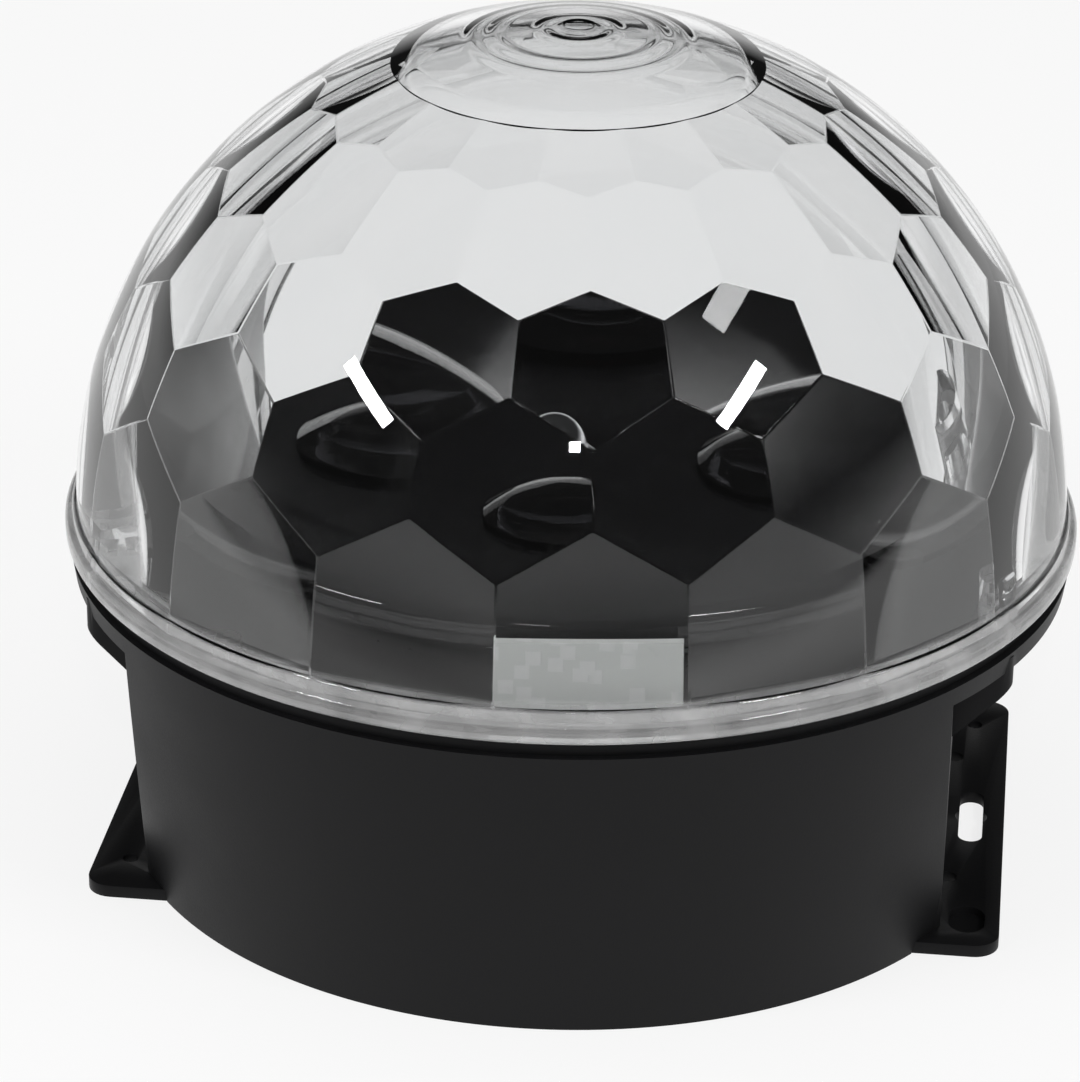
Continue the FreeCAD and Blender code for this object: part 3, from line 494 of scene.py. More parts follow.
class Finish(Enum):
    """Every finish on the light."""

    # The dome's flange gets a painted highlight: white mixed into the glass below 71.2 mm
    DOME = Clear("dome_clear", ior=1.59, painted_highlight_below=0.0712, painted_highlight=0.24)
    LENS = Clear("lens_smoked", (0.03, 0.03, 0.033), roughness=0.006, ior=1.52)
    SATIN_BLACK = Moulded(
        "satin_black", (0.0065, 0.0065, 0.007), (0.011, 0.011, 0.012), 0.46, shine=0.14
    )
    GLOSS_BLACK = Polished("gloss_black", (0.004, 0.004, 0.0045), 0.05)
    DECK_BLACK = Polished("deck_black", (0.012, 0.012, 0.013), 0.16)
    RUBBER = Moulded("rubber_black", (0.012, 0.012, 0.012), (0.02, 0.02, 0.02), 0.75, 0.1, 900.0)
    GREY = Moulded("grey_nylon", (0.3, 0.3, 0.31), (0.38, 0.38, 0.38), 0.5)
    WHITE = Moulded("white_nylon", (0.72, 0.71, 0.67), (0.8, 0.79, 0.76), 0.4)
    CHIP = Moulded("chip_black", (0.016, 0.016, 0.017), (0.03, 0.03, 0.03), 0.55)
    SLEEVE = Polished("blue_sleeve", (0.02, 0.03, 0.11), 0.25)
    SMOKED = Polished("smoked_lens", (0.018, 0.004, 0.006), 0.06)
    ZINC = Metal("zinc_screw", (0.62, 0.62, 0.63), 0.3)
    TIN = Metal("tinned_sheet", (0.55, 0.55, 0.56), 0.32)
    CHROME = Metal("bright_chrome", (0.83, 0.84, 0.86), 0.06, 0.05)
    CAST = Metal("cast_aluminium", (0.6, 0.61, 0.62), 0.42, 0.5, (1.0, 1.0, 1.0))
    BRASS = Metal("plated_brass", (0.74, 0.6, 0.32), 0.2)
    COPPER = Metal("wound_copper", (0.62, 0.3, 0.14), 0.35, 0.9, (1.0, 18.0, 1.0))
    BOARD_GREEN = Lacquered("board_green", (0.012, 0.11, 0.045), (0.03, 0.2, 0.08))
    BOARD_WHITE = Lacquered("board_white", (0.78, 0.79, 0.78), (0.7, 0.72, 0.7))
    RED = Tinted("red_bead", (0.8, 0.03, 0.02))
    GREEN = Tinted("green_bead", (0.03, 0.62, 0.12))
    BLUE = Tinted("blue_bead", (0.03, 0.1, 0.8))

    def material(self) -> bpy.types.Material:
        """The one material of this finish, made when it is first asked for."""
        found = bpy.data.materials.get(self.value.name)
        return found or self.value.make()


class Bench:
    """Modelling by operators, as a hand in edit mode would do it."""

    @staticmethod
    def clear() -> None:
        """Deselect everything."""
        if bpy.context.object and bpy.context.object.mode != "OBJECT":
            bpy.ops.object.mode_set(mode="OBJECT")
        bpy.ops.object.select_all(action="DESELECT")

    @staticmethod
    def take(obj: bpy.types.Object, *others: bpy.types.Object) -> None:
        """Select only these objects and make the first one active."""
        Bench.clear()
        for other in (obj, *others):
            other.select_set(True)
        bpy.context.view_layer.objects.active = obj

    @staticmethod
    def edit(obj: bpy.types.Object, mode: str = "FACE", everything: bool = True) -> None:
        """Open an object in edit mode.

        Args:
            obj: The object.
            mode: VERT, EDGE or FACE.
            everything: Select all of it, or none.
        """
        Bench.take(obj)
        bpy.ops.object.mode_set(mode="EDIT")
        bpy.ops.mesh.select_mode(type=mode)
        bpy.ops.mesh.select_all(action="SELECT" if everything else "DESELECT")

    @staticmethod
    def pick(obj: bpy.types.Object, mode: str, test: Callable[..., bool]) -> None:
        """Open an object in edit mode with only some edges or faces selected.

        Args:
            obj: The object.
            mode: EDGE or FACE.
            test: Says which edges, by their two ends, or which faces are wanted.
        """
        Bench.edit(obj, mode, everything=False)
        Bench.done()
        if mode == "EDGE":
            places = [vertex.co for vertex in obj.data.vertices]
            for edge in obj.data.edges:
                edge.select = test(*(places[i] for i in edge.vertices))
        else:
            for face in obj.data.polygons:
                face.select = test(face)
        bpy.ops.object.mode_set(mode="EDIT")

    @staticmethod
    def done() -> None:
        """Go back to object mode."""
        bpy.ops.object.mode_set(mode="OBJECT")

    @staticmethod
    def named(name: str) -> bpy.types.Object:
        """Name the new primitive, put its place into its mesh and return it."""
        obj = bpy.context.object
        obj.name = name
        obj.data.name = name
        bpy.ops.object.transform_apply(location=True, rotation=True, scale=True)
        return obj

    @staticmethod
    def cylinder(
        name: str,
        radius: float,
        low: float,
        high: float,
        spot: Point = (0.0, 0.0),
        sides: int = 96,
        lying: bool = False,
    ) -> bpy.types.Object:
        """A cylinder, upright or lying along Y.

        Args:
            name: The piece's name.
            radius: Its radius in mm.
            low: Its foot in mm, or its least Y.
            high: Its top in mm, or its greatest Y.
            spot: X and Y of its axis in mm, or X and Z.
            sides: Sides of its outline.
            lying: Whether it lies along Y.

        Returns:
            The object.
        """
        Bench.clear()
        middle = (low + high) / 2
        place = (spot[0], middle, spot[1]) if lying else (spot[0], spot[1], middle)
        bpy.ops.mesh.primitive_cylinder_add(
            vertices=sides,
            radius=radius * MM,
            depth=(high - low) * MM,
            location=[v * MM for v in place],
            rotation=(math.pi / 2 if lying else 0.0, 0.0, 0.0),
        )
        return Bench.named(name)

    @staticmethod
    def cylinders(
        name: str, radius: float, low: float, high: float, spots: Iterable[Point], sides: int
    ) -> list[bpy.types.Object]:
        """Upright cylinders that are alike, one at each spot."""
        return [Bench.cylinder(name, radius, low, high, spot, sides) for spot in spots]

    @staticmethod
    def block(name: str, low: Place, high: Place) -> bpy.types.Object:
        """A box between two corners in mm."""
        Bench.clear()
        middle = [(a + b) / 2 * MM for a, b in zip(low, high)]
        bpy.ops.mesh.primitive_cube_add(size=1.0, location=middle)
        obj = bpy.context.object
        obj.scale = [(b - a) * MM for a, b in zip(low, high)]
        return Bench.named(name)

    @staticmethod
    def turned(name: str, outline: Iterable[Point], steps: int = 128) -> bpy.types.Object:
        """Spin an outline of (radius, height) points in mm about Z.

        Args:
            name: The piece's name.
            outline: Its points, closed on themselves or by the axis.
            steps: Sides of the circle.

        Returns:
            The object.
        """
        points = [Vector((r * MM, 0.0, z * MM)) for r, z in outline]
        Bench.clear()
        bpy.ops.mesh.primitive_plane_add(size=MM, location=points[0])
        obj = Bench.named(name)
        Bench.edit(obj, "VERT")
        bpy.ops.mesh.merge(type="CENTER")
        for before, after in zip(points, points[1:]):
            bpy.ops.mesh.extrude_region_move(TRANSFORM_OT_translate={"value": after - before})
        bpy.ops.mesh.select_all(action="SELECT")
        if points[0].x > 0.0 and points[-1].x > 0.0:
            bpy.ops.mesh.edge_face_add()
            bpy.ops.mesh.delete(type="ONLY_FACE")
            bpy.ops.mesh.select_all(action="SELECT")
        bpy.ops.mesh.spin(steps=steps, angle=FULL_TURN, center=(0, 0, 0), axis=(0, 0, 1))
        bpy.ops.mesh.select_all(action="SELECT")
        bpy.ops.mesh.remove_doubles(threshold=MERGE)
        bpy.ops.mesh.normals_make_consistent(inside=False)
        Bench.done()
        return obj

    @staticmethod
    def bisected(spot: Vector, normal: Vector) -> None:
        """Cut off what lies beyond a plane and close the cut, in edit mode.

        Args:
            spot: A point on the plane, in metres.
            normal: The side that goes.
        """
        bpy.ops.mesh.select_all(action="SELECT")
        bpy.ops.mesh.bisect(plane_co=spot, plane_no=normal, use_fill=True, clear_outer=True)

    @staticmethod
    def apply(obj: bpy.types.Object, kind: str, **settings: object) -> None:
        """Add a modifier and apply it.

        Args:
            obj: The object.
            kind: The modifier's type.
            settings: Its settings.
        """
        Bench.take(obj)
        modifier = obj.modifiers.new(kind.lower(), kind)
        for name, value in settings.items():
            setattr(modifier, name, value)
        bpy.ops.object.modifier_apply(modifier=modifier.name)

    @staticmethod
    def combine(obj: bpy.types.Object, tool: bpy.types.Object, operation: str) -> None:
        """Join, cut or cross a piece with a tool, which is used up.

        Args:
            obj: The piece.
            tool: The tool.
            operation: UNION, DIFFERENCE or INTERSECT.
        """
        Bench.apply(obj, "BOOLEAN", operation=operation, solver="EXACT", object=tool)
        mesh = tool.data
        bpy.data.objects.remove(tool)
        bpy.data.meshes.remove(mesh)

    @staticmethod
    def add(obj: bpy.types.Object, tools: Iterable[bpy.types.Object]) -> None:
        """Join tools to a piece."""
        for tool in tools:
            Bench.combine(obj, tool, "UNION")

    @staticmethod
    def cut(obj: bpy.types.Object, tools: Iterable[bpy.types.Object]) -> None:
        """Cut tools out of a piece."""
        for tool in tools:
            Bench.combine(obj, tool, "DIFFERENCE")

    @staticmethod
    def soften(obj: bpy.types.Object, width: float, angle: float = 30.0, segments: int = 2) -> None:
        """Round the sharp edges and shade the rest smooth.

        Args:
            obj: The object.
            width: Width of the rounding in mm.
            angle: Edges sharper than this many degrees are rounded.
            segments: Steps of the rounding.
        """
        Bench.edit(obj)
        bpy.ops.mesh.remove_doubles(threshold=MERGE)
        bpy.ops.mesh.dissolve_limited(angle_limit=math.radians(0.3))
        Bench.done()
        Bench.apply(
            obj,
            "BEVEL",
            width=width * MM,
            segments=segments,
            limit_method="ANGLE",
            angle_limit=math.radians(angle),
            use_clamp_overlap=True,
            harden_normals=False,
        )
        Bench.smooth(obj, angle)

    @staticmethod
    def smooth(obj: bpy.types.Object, angle: float = 30.0) -> None:
        """Shade smooth, but keep edges sharper than this many degrees."""
        Bench.take(obj)
        bpy.ops.object.shade_smooth_by_angle(angle=math.radians(angle))

    @staticmethod
    def merged(obj: bpy.types.Object, angle: float) -> None:
        """Merge doubles, and shade all but the edges sharper than this many degrees."""
        Bench.edit(obj)
        bpy.ops.mesh.remove_doubles(threshold=FINE_MERGE)
        Bench.done()
        Bench.smooth(obj, angle)

    @staticmethod
    def joined(name: str, pieces: Sequence[bpy.types.Object]) -> bpy.types.Object:
        """Join separate solids into one object."""
        Bench.take(*pieces)
        if len(pieces) > 1:
            bpy.ops.object.join()
        obj = bpy.context.view_layer.objects.active
        obj.name = name
        return obj

    @staticmethod
    def copies(obj: bpy.types.Object, count: int) -> list[bpy.types.Object]:
        """Copies of a piece evenly round Z, each with its own mesh.

        Args:
            obj: The first piece.
            count: How many there are in all.

        Returns:
            All of them, the first one too.
        """
        found = [obj]
        for i in range(1, count):
            twin = obj.copy()
            twin.data = obj.data.copy()
            bpy.context.collection.objects.link(twin)
            twin.data.transform(Matrix.Rotation(math.radians(360.0 / count * i), 4, "Z"))
            found.append(twin)
        return found


def dress(obj: bpy.types.Object, finish: Finish, body: Body, *nodes: str) -> bpy.types.Object:
    """Give a finished piece its finish, its body and the nodes that it stands for.

    Args:
        obj: The piece.
        finish: Its finish.
        body: The body that it rides on.
        nodes: Solids that it replaces.

    Returns:
        The piece.
    """
    obj.data.materials.clear()
    obj.data.materials.append(finish.material())
    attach(obj, body.value)
    if nodes:
        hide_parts(*nodes)
    LOG.info("%s: %d faces", obj.name, len(obj.data.polygons))
    return obj


def upright(a: Vector, b: Vector) -> bool:
    """Whether the edge between two points stands upright."""
    return (a.xy - b.xy).length < 0.0001 < abs(a.z - b.z)


def polar(radius: float, degrees: float) -> Point:
    """A point at this radius, its angle from the front towards +X."""
    a = math.radians(degrees)
    return radius * math.sin(a), -radius * math.cos(a)


def mirrored(radius: float, degrees: float) -> list[Point]:
    """A point at this radius and angle and its three mirror images."""
    return [polar(radius, a) for a in (degrees, 180 - degrees, 180 + degrees, -degrees)]


def quarters(radius: float) -> list[Point]:
    """Four points at this radius, midway between the axes."""
    return [polar(radius, 45 + 90 * i) for i in range(4)]


def flatted(
    obj: bpy.types.Object, side: float, rear: float, tilt: float = 0.0
) -> bpy.types.Object:
    """Cut a round body flat at both sides and at the rear.

    Args:
        obj: The body.
        side: How far out the side flats lie, in mm.
        rear: How far back the rear flat lies, in mm.
        tilt: How far the flats lean outwards, in radians.

    Returns:
        The body.
    """
    Bench.edit(obj)
    for x, y, reach in ((1, 0, side), (-1, 0, side), (0, 1, rear)):
        normal = Vector((x * math.cos(tilt), y * math.cos(tilt), -math.sin(tilt)))
        Bench.bisected(Vector((x * reach, y * reach, 0)) * MM, normal)
    Bench.done()
    return obj


def arc(radius: float, centre: Point, start: float, end: float, count: int) -> list[Point]:
    """Points on an arc, its angles in degrees from +X.

    Args:
        radius: Radius in mm.
        centre: Its centre.
        start: First angle.
        end: Last angle.
        count: Steps between them.

    Returns:
        The points, both ends among them.
    """
    step = (end - start) / count
    angles = [math.radians(start + step * i) for i in range(count + 1)]
    return [(centre[0] + radius * math.cos(a), centre[1] + radius * math.sin(a)) for a in angles]


@dataclass
class FacetedDome:
    """The clear dome: smooth ball outside, flat facets and cap inside, flange and screw bosses."""

    radius: float = 97.8
    centre: float = 69.0
    inner: float = 93.4
    facets: int = 17
    tilts: tuple[float, ...] = (6.9, 23.6, 38.5, 53.2, 66.5)
    distance_shares: tuple[float, ...] = (0.987, 1.0, 1.004, 1.001, 1.0)
    turn: float = 8.5
    rough_ball: float = 97.4
    facet_area: float = 60.0
    facet_foot: float = 67.0
    crease: float = 0.25
    cap_radius: float = 34.5
    cap_ball: float = 94.9
    cap_edge: float = 4.0
    cap_overlap: float = 0.9
    cap_root: float = 8.0
    cap_ring_shares: tuple[float, ...] = (0.20, 0.45, 0.58)
    cap_ring_depth: float = 0.12
    cap_ring_width: float = 2.2
    dimple: float = 3.2
    dimple_depth: float = 0.6
    flange_low: float = 65.0
    flange_high: float = 69.0
    foot_high: float = 71.4
    flange_radius: float = 100.0
    foot_radius: float = 98.5
    lip_radius: float = 87.5
    edge: float = 1.2
    boss_radius: float = 4.2
    boss_high: float = 76.0
    bore_high: float = 72.7

    def facet_block(self) -> bpy.types.Object:
        """A ball cut flat by every facet's plane, its edges just rounded.

        Returns:
            The closed block that the dome is hollowed with.
        """
        Bench.clear()
        hub = Vector((0, 0, self.centre * MM))
        bpy.ops.mesh.primitive_uv_sphere_add(
            segments=4 * self.facets, ring_count=48, radius=self.rough_ball * MM, location=hub
        )
        obj = Bench.named("facets")
        Bench.edit(obj)
        half = 180.0 / self.facets
        for k, (tilt, share) in enumerate(zip(self.tilts, self.distance_shares)):
            for i in range(self.facets):
                x, y = polar(1.0, self.turn + (2 * i + k % 2) * half)
                level = math.cos(math.radians(tilt))
                normal = Vector((x * level, y * level, math.sin(math.radians(tilt))))
                Bench.bisected(hub + normal * self.inner * share * MM, normal)
        top = self.cap_height(self.cap_radius) - self.cap_overlap
        Bench.bisected(Vector((0, 0, top * MM)), Vector((0, 0, 1)))
        Bench.bisected(Vector((0, 0, self.facet_foot * MM)), Vector((0, 0, -1)))
        bpy.ops.mesh.select_all(action="SELECT")
        bpy.ops.mesh.remove_doubles(threshold=0.00005)
        bpy.ops.mesh.dissolve_limited(angle_limit=math.radians(0.5))
        bpy.ops.mesh.select_all(action="DESELECT")
        bpy.ops.mesh.select_mode(type="EDGE")
        bpy.ops.mesh.edges_select_sharp(sharpness=math.radians(6))
        bpy.ops.mesh.bevel(offset=self.crease * MM, segments=2, profile=0.5, affect="EDGES")
        Bench.done()
        return obj

    def cap_height(self, radius: float) -> float:
        """Height of the cap's hollow at this radius."""
        return self.centre + math.sqrt(self.cap_ball ** 2 - radius ** 2)

    def cap(self) -> bpy.types.Object:
        """The cap's round hollow with its rings, a spun solid that runs down into the facets."""
        r, e = self.cap_radius, self.cap_edge
        rim = math.degrees(math.acos((r - e) / self.cap_ball))
        curve = arc(self.cap_ball, (0.0, self.centre), rim, 88.0, 60)
        low = self.cap_height(r) - self.cap_root
        top = curve[0][1]
        outline = [(0.0, low), (r, low), (r, top - 0.62 * e), (r - 0.5 * e, top - 0.2 * e)]
        outline += [(x, z + self.ripple(x)) for x, z in curve]
        outline += [(0.0, self.centre + self.cap_ball)]
        return Bench.turned("cap", outline, 136)

    def ripple(self, radius: float) -> float:
        """How far a ring moulded into the cap's hollow stands up at this radius."""
        near = min(abs(radius - self.cap_radius * share) for share in self.cap_ring_shares)
        wave = math.cos(math.pi * min(1.0, near / self.cap_ring_width))
        return self.cap_ring_depth * (0.5 + 0.5 * wave)

    def shell(self) -> bpy.types.Object:
        """The smooth outside with a dimple on top, spun."""
        r, top = self.radius, self.centre + self.radius
        start = math.degrees(math.acos(self.dimple / r))
        outline = [(0.0, self.flange_high), (r, self.flange_high)]
        outline += arc(r, (0.0, self.centre), 0, start, 96)[1:]
        outline += [(self.dimple - 0.5, top - self.dimple_depth * 0.7)]
        outline += [(0.0, top - self.dimple_depth)]
        return Bench.turned("dome", outline, 204)

    def flange(self) -> bpy.types.Object:
        """The flange and the step above it, a spun ring."""
        r, low, high, e = self.flange_radius, self.flange_low, self.flange_high, self.edge
        outline = [(self.lip_radius, low)]
        outline += arc(e, (r - e, low + e), -90, 0, 5)
        outline += arc(e, (r - e, high - e), 0, 90, 5)
        outline += [(self.foot_radius + 0.3, high)]
        outline += arc(0.8, (self.foot_radius - 0.8, self.foot_high - 0.8), 0, 90, 4)
        outline += [(self.lip_radius, self.foot_high)]
        return Bench.turned("flange", outline, 204)

    def bosses(self) -> list[bpy.types.Object]:
        """Clear bosses that the dome's screws go into."""
        spots = mirrored(SCREW_CIRCLE, LUG_ANGLE)
        return Bench.cylinders("boss", self.boss_radius, self.flange_low, self.boss_high, spots, 40)

    def bores(self) -> list[bpy.types.Object]:
        """Blind holes in the bosses."""
        spots = mirrored(SCREW_CIRCLE, LUG_ANGLE)
        return Bench.cylinders("bore", SCREW_HOLE, self.flange_low - 1, self.bore_high, spots, 24)

    def build(self) -> None:
        """Model and dress the dome."""
        dome = self.shell()
        Bench.add(dome, [self.flange()])
        low, high = self.flange_low - 5.0, self.facet_foot + 1.0
        mouth = Bench.cylinder("mouth", self.lip_radius, low, high, sides=204)
        hollow = self.facet_block()
        Bench.add(hollow, [self.cap(), mouth])
        Bench.cut(dome, [hollow])
        Bench.add(dome, self.bosses())
        Bench.cut(dome, self.bores())
        Bench.merged(dome, 24.0)
        least = self.facet_area * MM * MM
        Bench.pick(dome, "FACE", lambda face: face.area > least)
        bpy.ops.mesh.faces_shade_flat()
        Bench.done()
        dress(dome, Finish.DOME, Body.STAND, "dome")


@dataclass
class Drum:
    """The black drum: tapered wall with three flats, round top, collar, lugs and rear cut-outs."""

    height: float = 62.0
    foot: float = 89.7
    head: float = 99.0
    flat_x: float = 78.0
    lean: float = 0.2
    rear_y: float = 80.0
    wall: float = 2.5
    shelf: float = 58.0
    ledge: float = 56.5
    deck_low: float = 59.5
    collar_high: float = 64.0
    collar: float = 97.5
    mouth: float = 89.6
    ledge_width: float = 4.0
    lug_reach: float = 11.0
    lug_width: float = 13.0
    lug_mid: float = 55.0
    lug_low: float = 44.0
    lug_round: float = 3.0
    seat: float = 58.25
    notch_half: float = 52.3
    notch_high: float = 2.5
    fitting_z: float = 31.0
    inlet: tuple[Point, float] = ((-35.5, -7.5), 10.4)
    switch: tuple[Point, float] = ((-1.6, 11.6), 9.7)
    fuse_x: float = 20.5
    fuse_hole: float = 5.3
    bush_x: float = 34.0
    bush_hole: float = 3.3
    sound_z: float = 48.0
    sound_hole: float = 0.8
    sound_ring: float = 1.9
    pillar: float = 4.0

    def round_body(self, name: str, inset: float, low: float, high: float) -> bpy.types.Object:
        """The tapered round body, drawn in by a wall.

        Args:
            name: The solid's name.
            inset: How far inside the outer skin it lies.
            low: Its foot.
            high: Its top.

        Returns:
            The solid.
        """
        slope = (self.head - self.foot) / self.height
        Bench.clear()
        bpy.ops.mesh.primitive_cone_add(
            vertices=240,
            radius1=(self.foot + slope * low - inset) * MM,
            radius2=(self.foot + slope * high - inset) * MM,
            depth=(high - low) * MM,
            location=(0, 0, (low + high) / 2 * MM),
        )
        return Bench.named(name)

    def walls(self, obj: bpy.types.Object, inset: float) -> bpy.types.Object:
        """Cut a round body to the drum's three flats, this far inside the outer skin."""
        tilt = math.atan(self.lean / self.height)
        return flatted(obj, self.flat_x - inset, self.rear_y - inset, tilt)

    def lug(self) -> bpy.types.Object:
        """The lug of the right flat before it slides to its place."""
        near, far, side = self.flat_x - 1.0, self.flat_x + self.lug_reach, self.lug_width / 2
        obj = Bench.block("lug", (near, -side, self.lug_low), (far, side, self.height - 1.0))
        Bench.edit(obj)
        normal = Vector((self.lug_mid - self.lug_low, 0, -self.lug_reach)).normalized()
        Bench.bisected(Vector((self.flat_x * MM, 0, self.lug_low * MM)), normal)
        Bench.done()
        Bench.pick(obj, "EDGE", lambda a, b: upright(a, b) and a.x > (far - 1.0) * MM)
        bpy.ops.mesh.bevel(offset=self.lug_round * MM, segments=6, affect="EDGES")
        Bench.done()
        return obj

    def lugs(self) -> list[bpy.types.Object]:
        """The four lugs in their places."""
        found = []
        for x, y in mirrored(SCREW_CIRCLE, LUG_ANGLE):
            obj = self.lug()
            if x < 0:
                obj.data.transform(Matrix.Rotation(math.pi, 4, "Z"))
            obj.data.transform(Matrix.Translation((0, y * MM, 0)))
            found.append(obj)
        return found

    def lug_holes(self) -> list[bpy.types.Object]:
        """Screw holes and the wells for their heads."""
        found = []
        for at in mirrored(SCREW_CIRCLE, LUG_ANGLE):
            high = self.collar_high + 1
            found.append(Bench.cylinder("hole", SCREW_HOLE, self.seat - 1, high, at, 24))
            found.append(Bench.cylinder("well", SCREW_WELL, self.lug_low - 5, self.seat, at, 32))
        return found

    def mouth_block(self, inset: float, wall: float, low: float, high: float) -> bpy.types.Object:
        """What is cut out of the rim for the deck and the ledge under it.

        Args:
            inset: How far inside the mouth it lies.
            wall: How far inside the skin its flats lie.
            low: Its foot.
            high: Its top.

        Returns:
            The tool.
        """
        body = Bench.cylinder("mouth", self.mouth - inset, low, high, sides=192)
        return self.walls(body, wall)

    def pillars(self) -> list[bpy.types.Object]:
        """Pillars inside the wall."""
        spots = quarters(PLATE_SCREW_CIRCLE)
        return Bench.cylinders("pillar", self.pillar, self.notch_high, self.deck_low, spots, 32)

    def cutouts(self) -> list[bpy.types.Object]:
        """Openings in the rear flat for the fittings, and the notches over the ears."""
        z, near, far = self.fitting_z, self.rear_y - 7, self.rear_y + 15
        found = [
            Bench.block(name, (left, near, z - half), (right, far, z + half))
            for name, ((left, right), half) in (("inlet", self.inlet), ("switch", self.switch))
        ]
        middle = (self.fuse_x, self.sound_z)
        ring = [polar(self.sound_ring, 60.0 * i) for i in range(6)]
        holes = [
            (self.fuse_hole, (self.fuse_x, z), 48),
            (self.bush_hole, (self.bush_x, z), 32),
            (self.sound_hole, middle, 16),
            *((self.sound_hole, (middle[0] + x, middle[1] + y), 16) for x, y in ring),
        ]
        for radius, spot, sides in holes:
            found.append(Bench.cylinder("hole", radius, near, far, spot, sides, lying=True))
        wide, half = self.head, self.notch_half
        found.append(Bench.block("notch", (-wide, -half, -2), (wide, half, self.notch_high)))
        return found

    def build(self) -> None:
        """Model and dress the drum."""
        drum = self.walls(self.round_body("housing", 0.0, 0.0, self.shelf + 0.5), 0.0)
        top = self.round_body("top", 0.0, self.shelf, self.height)
        low, high = self.height - 1, self.collar_high
        collar = Bench.cylinder("collar", self.collar, low, high, sides=240)
        Bench.add(drum, [top, collar, *self.lugs()])
        cavity = self.walls(self.round_body("cavity", self.wall, -1.0, self.ledge), self.wall)
        wall = self.wall + self.ledge_width
        Bench.cut(drum, [
            cavity,
            self.mouth_block(self.ledge_width, wall, self.ledge - 1, self.deck_low + 0.5),
            self.mouth_block(0.0, self.wall, self.deck_low, self.collar_high + 1),
        ])
        Bench.add(drum, self.pillars())
        Bench.cut(drum, self.lug_holes() + self.cutouts())
        Bench.soften(drum, 0.45, 32.0, 3)
        dress(drum, Finish.SATIN_BLACK, Body.STAND, "housing")


@dataclass
class Eared:
    """The bottom plate with its two ears."""

    thick: float = 2.5
    ear_x: float = 89.5
    half: float = 52.0
    corner: float = 5.0
    disc: float = 86.7
    flat_x: float = 74.9
    rear_y: float = 76.9
    keyhole_x: float = 82.8
    keyhole_width: float = 4.8
    keyhole_length: float = 21.0
    bulge: float = 3.2
    pin_hole: float = 1.6
    pin: Point = (82.5, 40.5)
    side_hole: float = 2.0
    side: Point = (78.6, 25.5)
    pocket: Point = (83.1, 42.0)
    pocket_size: Point = (10.0, 7.0)
    pocket_depth: float = 1.4
    vents: int = 6
    vent_x: float = 40.0
    vent_pitch: float = 6.5
    vent_size: Point = (34.0, 3.0)
    well_depth: float = 1.95

    def slot(
        self, size: Point, spot: Point, low: float, along_y: bool = True
    ) -> list[bpy.types.Object]:
        """The tools for a round-ended slot.

        Args:
            size: Its length from end to end and its width.
            spot: Its centre.
            low: Where its floor is.
            along_y: Whether it lies along Y.

        Returns:
            Three tools.
        """
        length, width = size
        run = (length - width) / 2
        x, y = spot
        dx, dy = (0.0, run) if along_y else (run, 0.0)
        wx, wy = (width / 2, run) if along_y else (run, width / 2)
        high = self.thick + 1
        ends = [(x - dx, y - dy), (x + dx, y + dy)]
        return [
            Bench.block("slot", (x - wx, y - wy, low), (x + wx, y + wy, high)),
            *Bench.cylinders("end", width / 2, low, high, ends, 32),
        ]

    def round_corners(self, obj: bpy.types.Object) -> None:
        """Round the upright edges of the ears' outline."""
        Bench.pick(obj, "EDGE", upright)
        bpy.ops.mesh.bevel(offset=self.corner * MM, segments=8, affect="EDGES")
        Bench.done()

    def build(self) -> None:
        """Model and dress the plate."""
        x, y, high = self.ear_x, self.half, self.thick + 1
        ears = Bench.block("base_plate", (-x, -y, 0), (x, y, self.thick))
        self.round_corners(ears)
        disc = Bench.cylinder("disc", self.disc, 0.0, self.thick, sides=160)
        Bench.add(ears, [flatted(disc, self.flat_x, self.rear_y)])
        tools: list[bpy.types.Object] = []
        for way in (1, -1):
            x = way * self.keyhole_x
            tools += self.slot((self.keyhole_length, self.keyhole_width), (x, 0.0), -1.0)
            tools.append(Bench.cylinder("bulge", self.bulge, -1, high, (x, 0.0), 40))
            pin = (way * self.pin[0], way * self.pin[1])
            tools.append(Bench.cylinder("pin", self.pin_hole, -1, high, pin, 32))
            sides = [(way * self.side[0], y) for y in (-self.side[1], self.side[1])]
            tools += Bench.cylinders("side", self.side_hole, -1, high, sides, 32)
            pocket = (way * self.pocket[0], -way * self.pocket[1])
            tools += self.slot(self.pocket_size, pocket, self.thick - self.pocket_depth)
            for i in range(self.vents):
                vent = (way * self.vent_x, (i - 2.5) * self.vent_pitch)
                tools += self.slot(self.vent_size, vent, -1.0, False)
        for spot in quarters(PLATE_SCREW_CIRCLE):
            tools.append(Bench.cylinder("hole", SCREW_HOLE, -1, high, spot, 24))
            tools.append(Bench.cylinder("well", SCREW_WELL, -1, self.well_depth, spot, 32))
        Bench.cut(ears, tools)
        Bench.soften(ears, 0.35, 35.0, 2)
        dress(ears, Finish.SATIN_BLACK, Body.STAND, "base_plate")


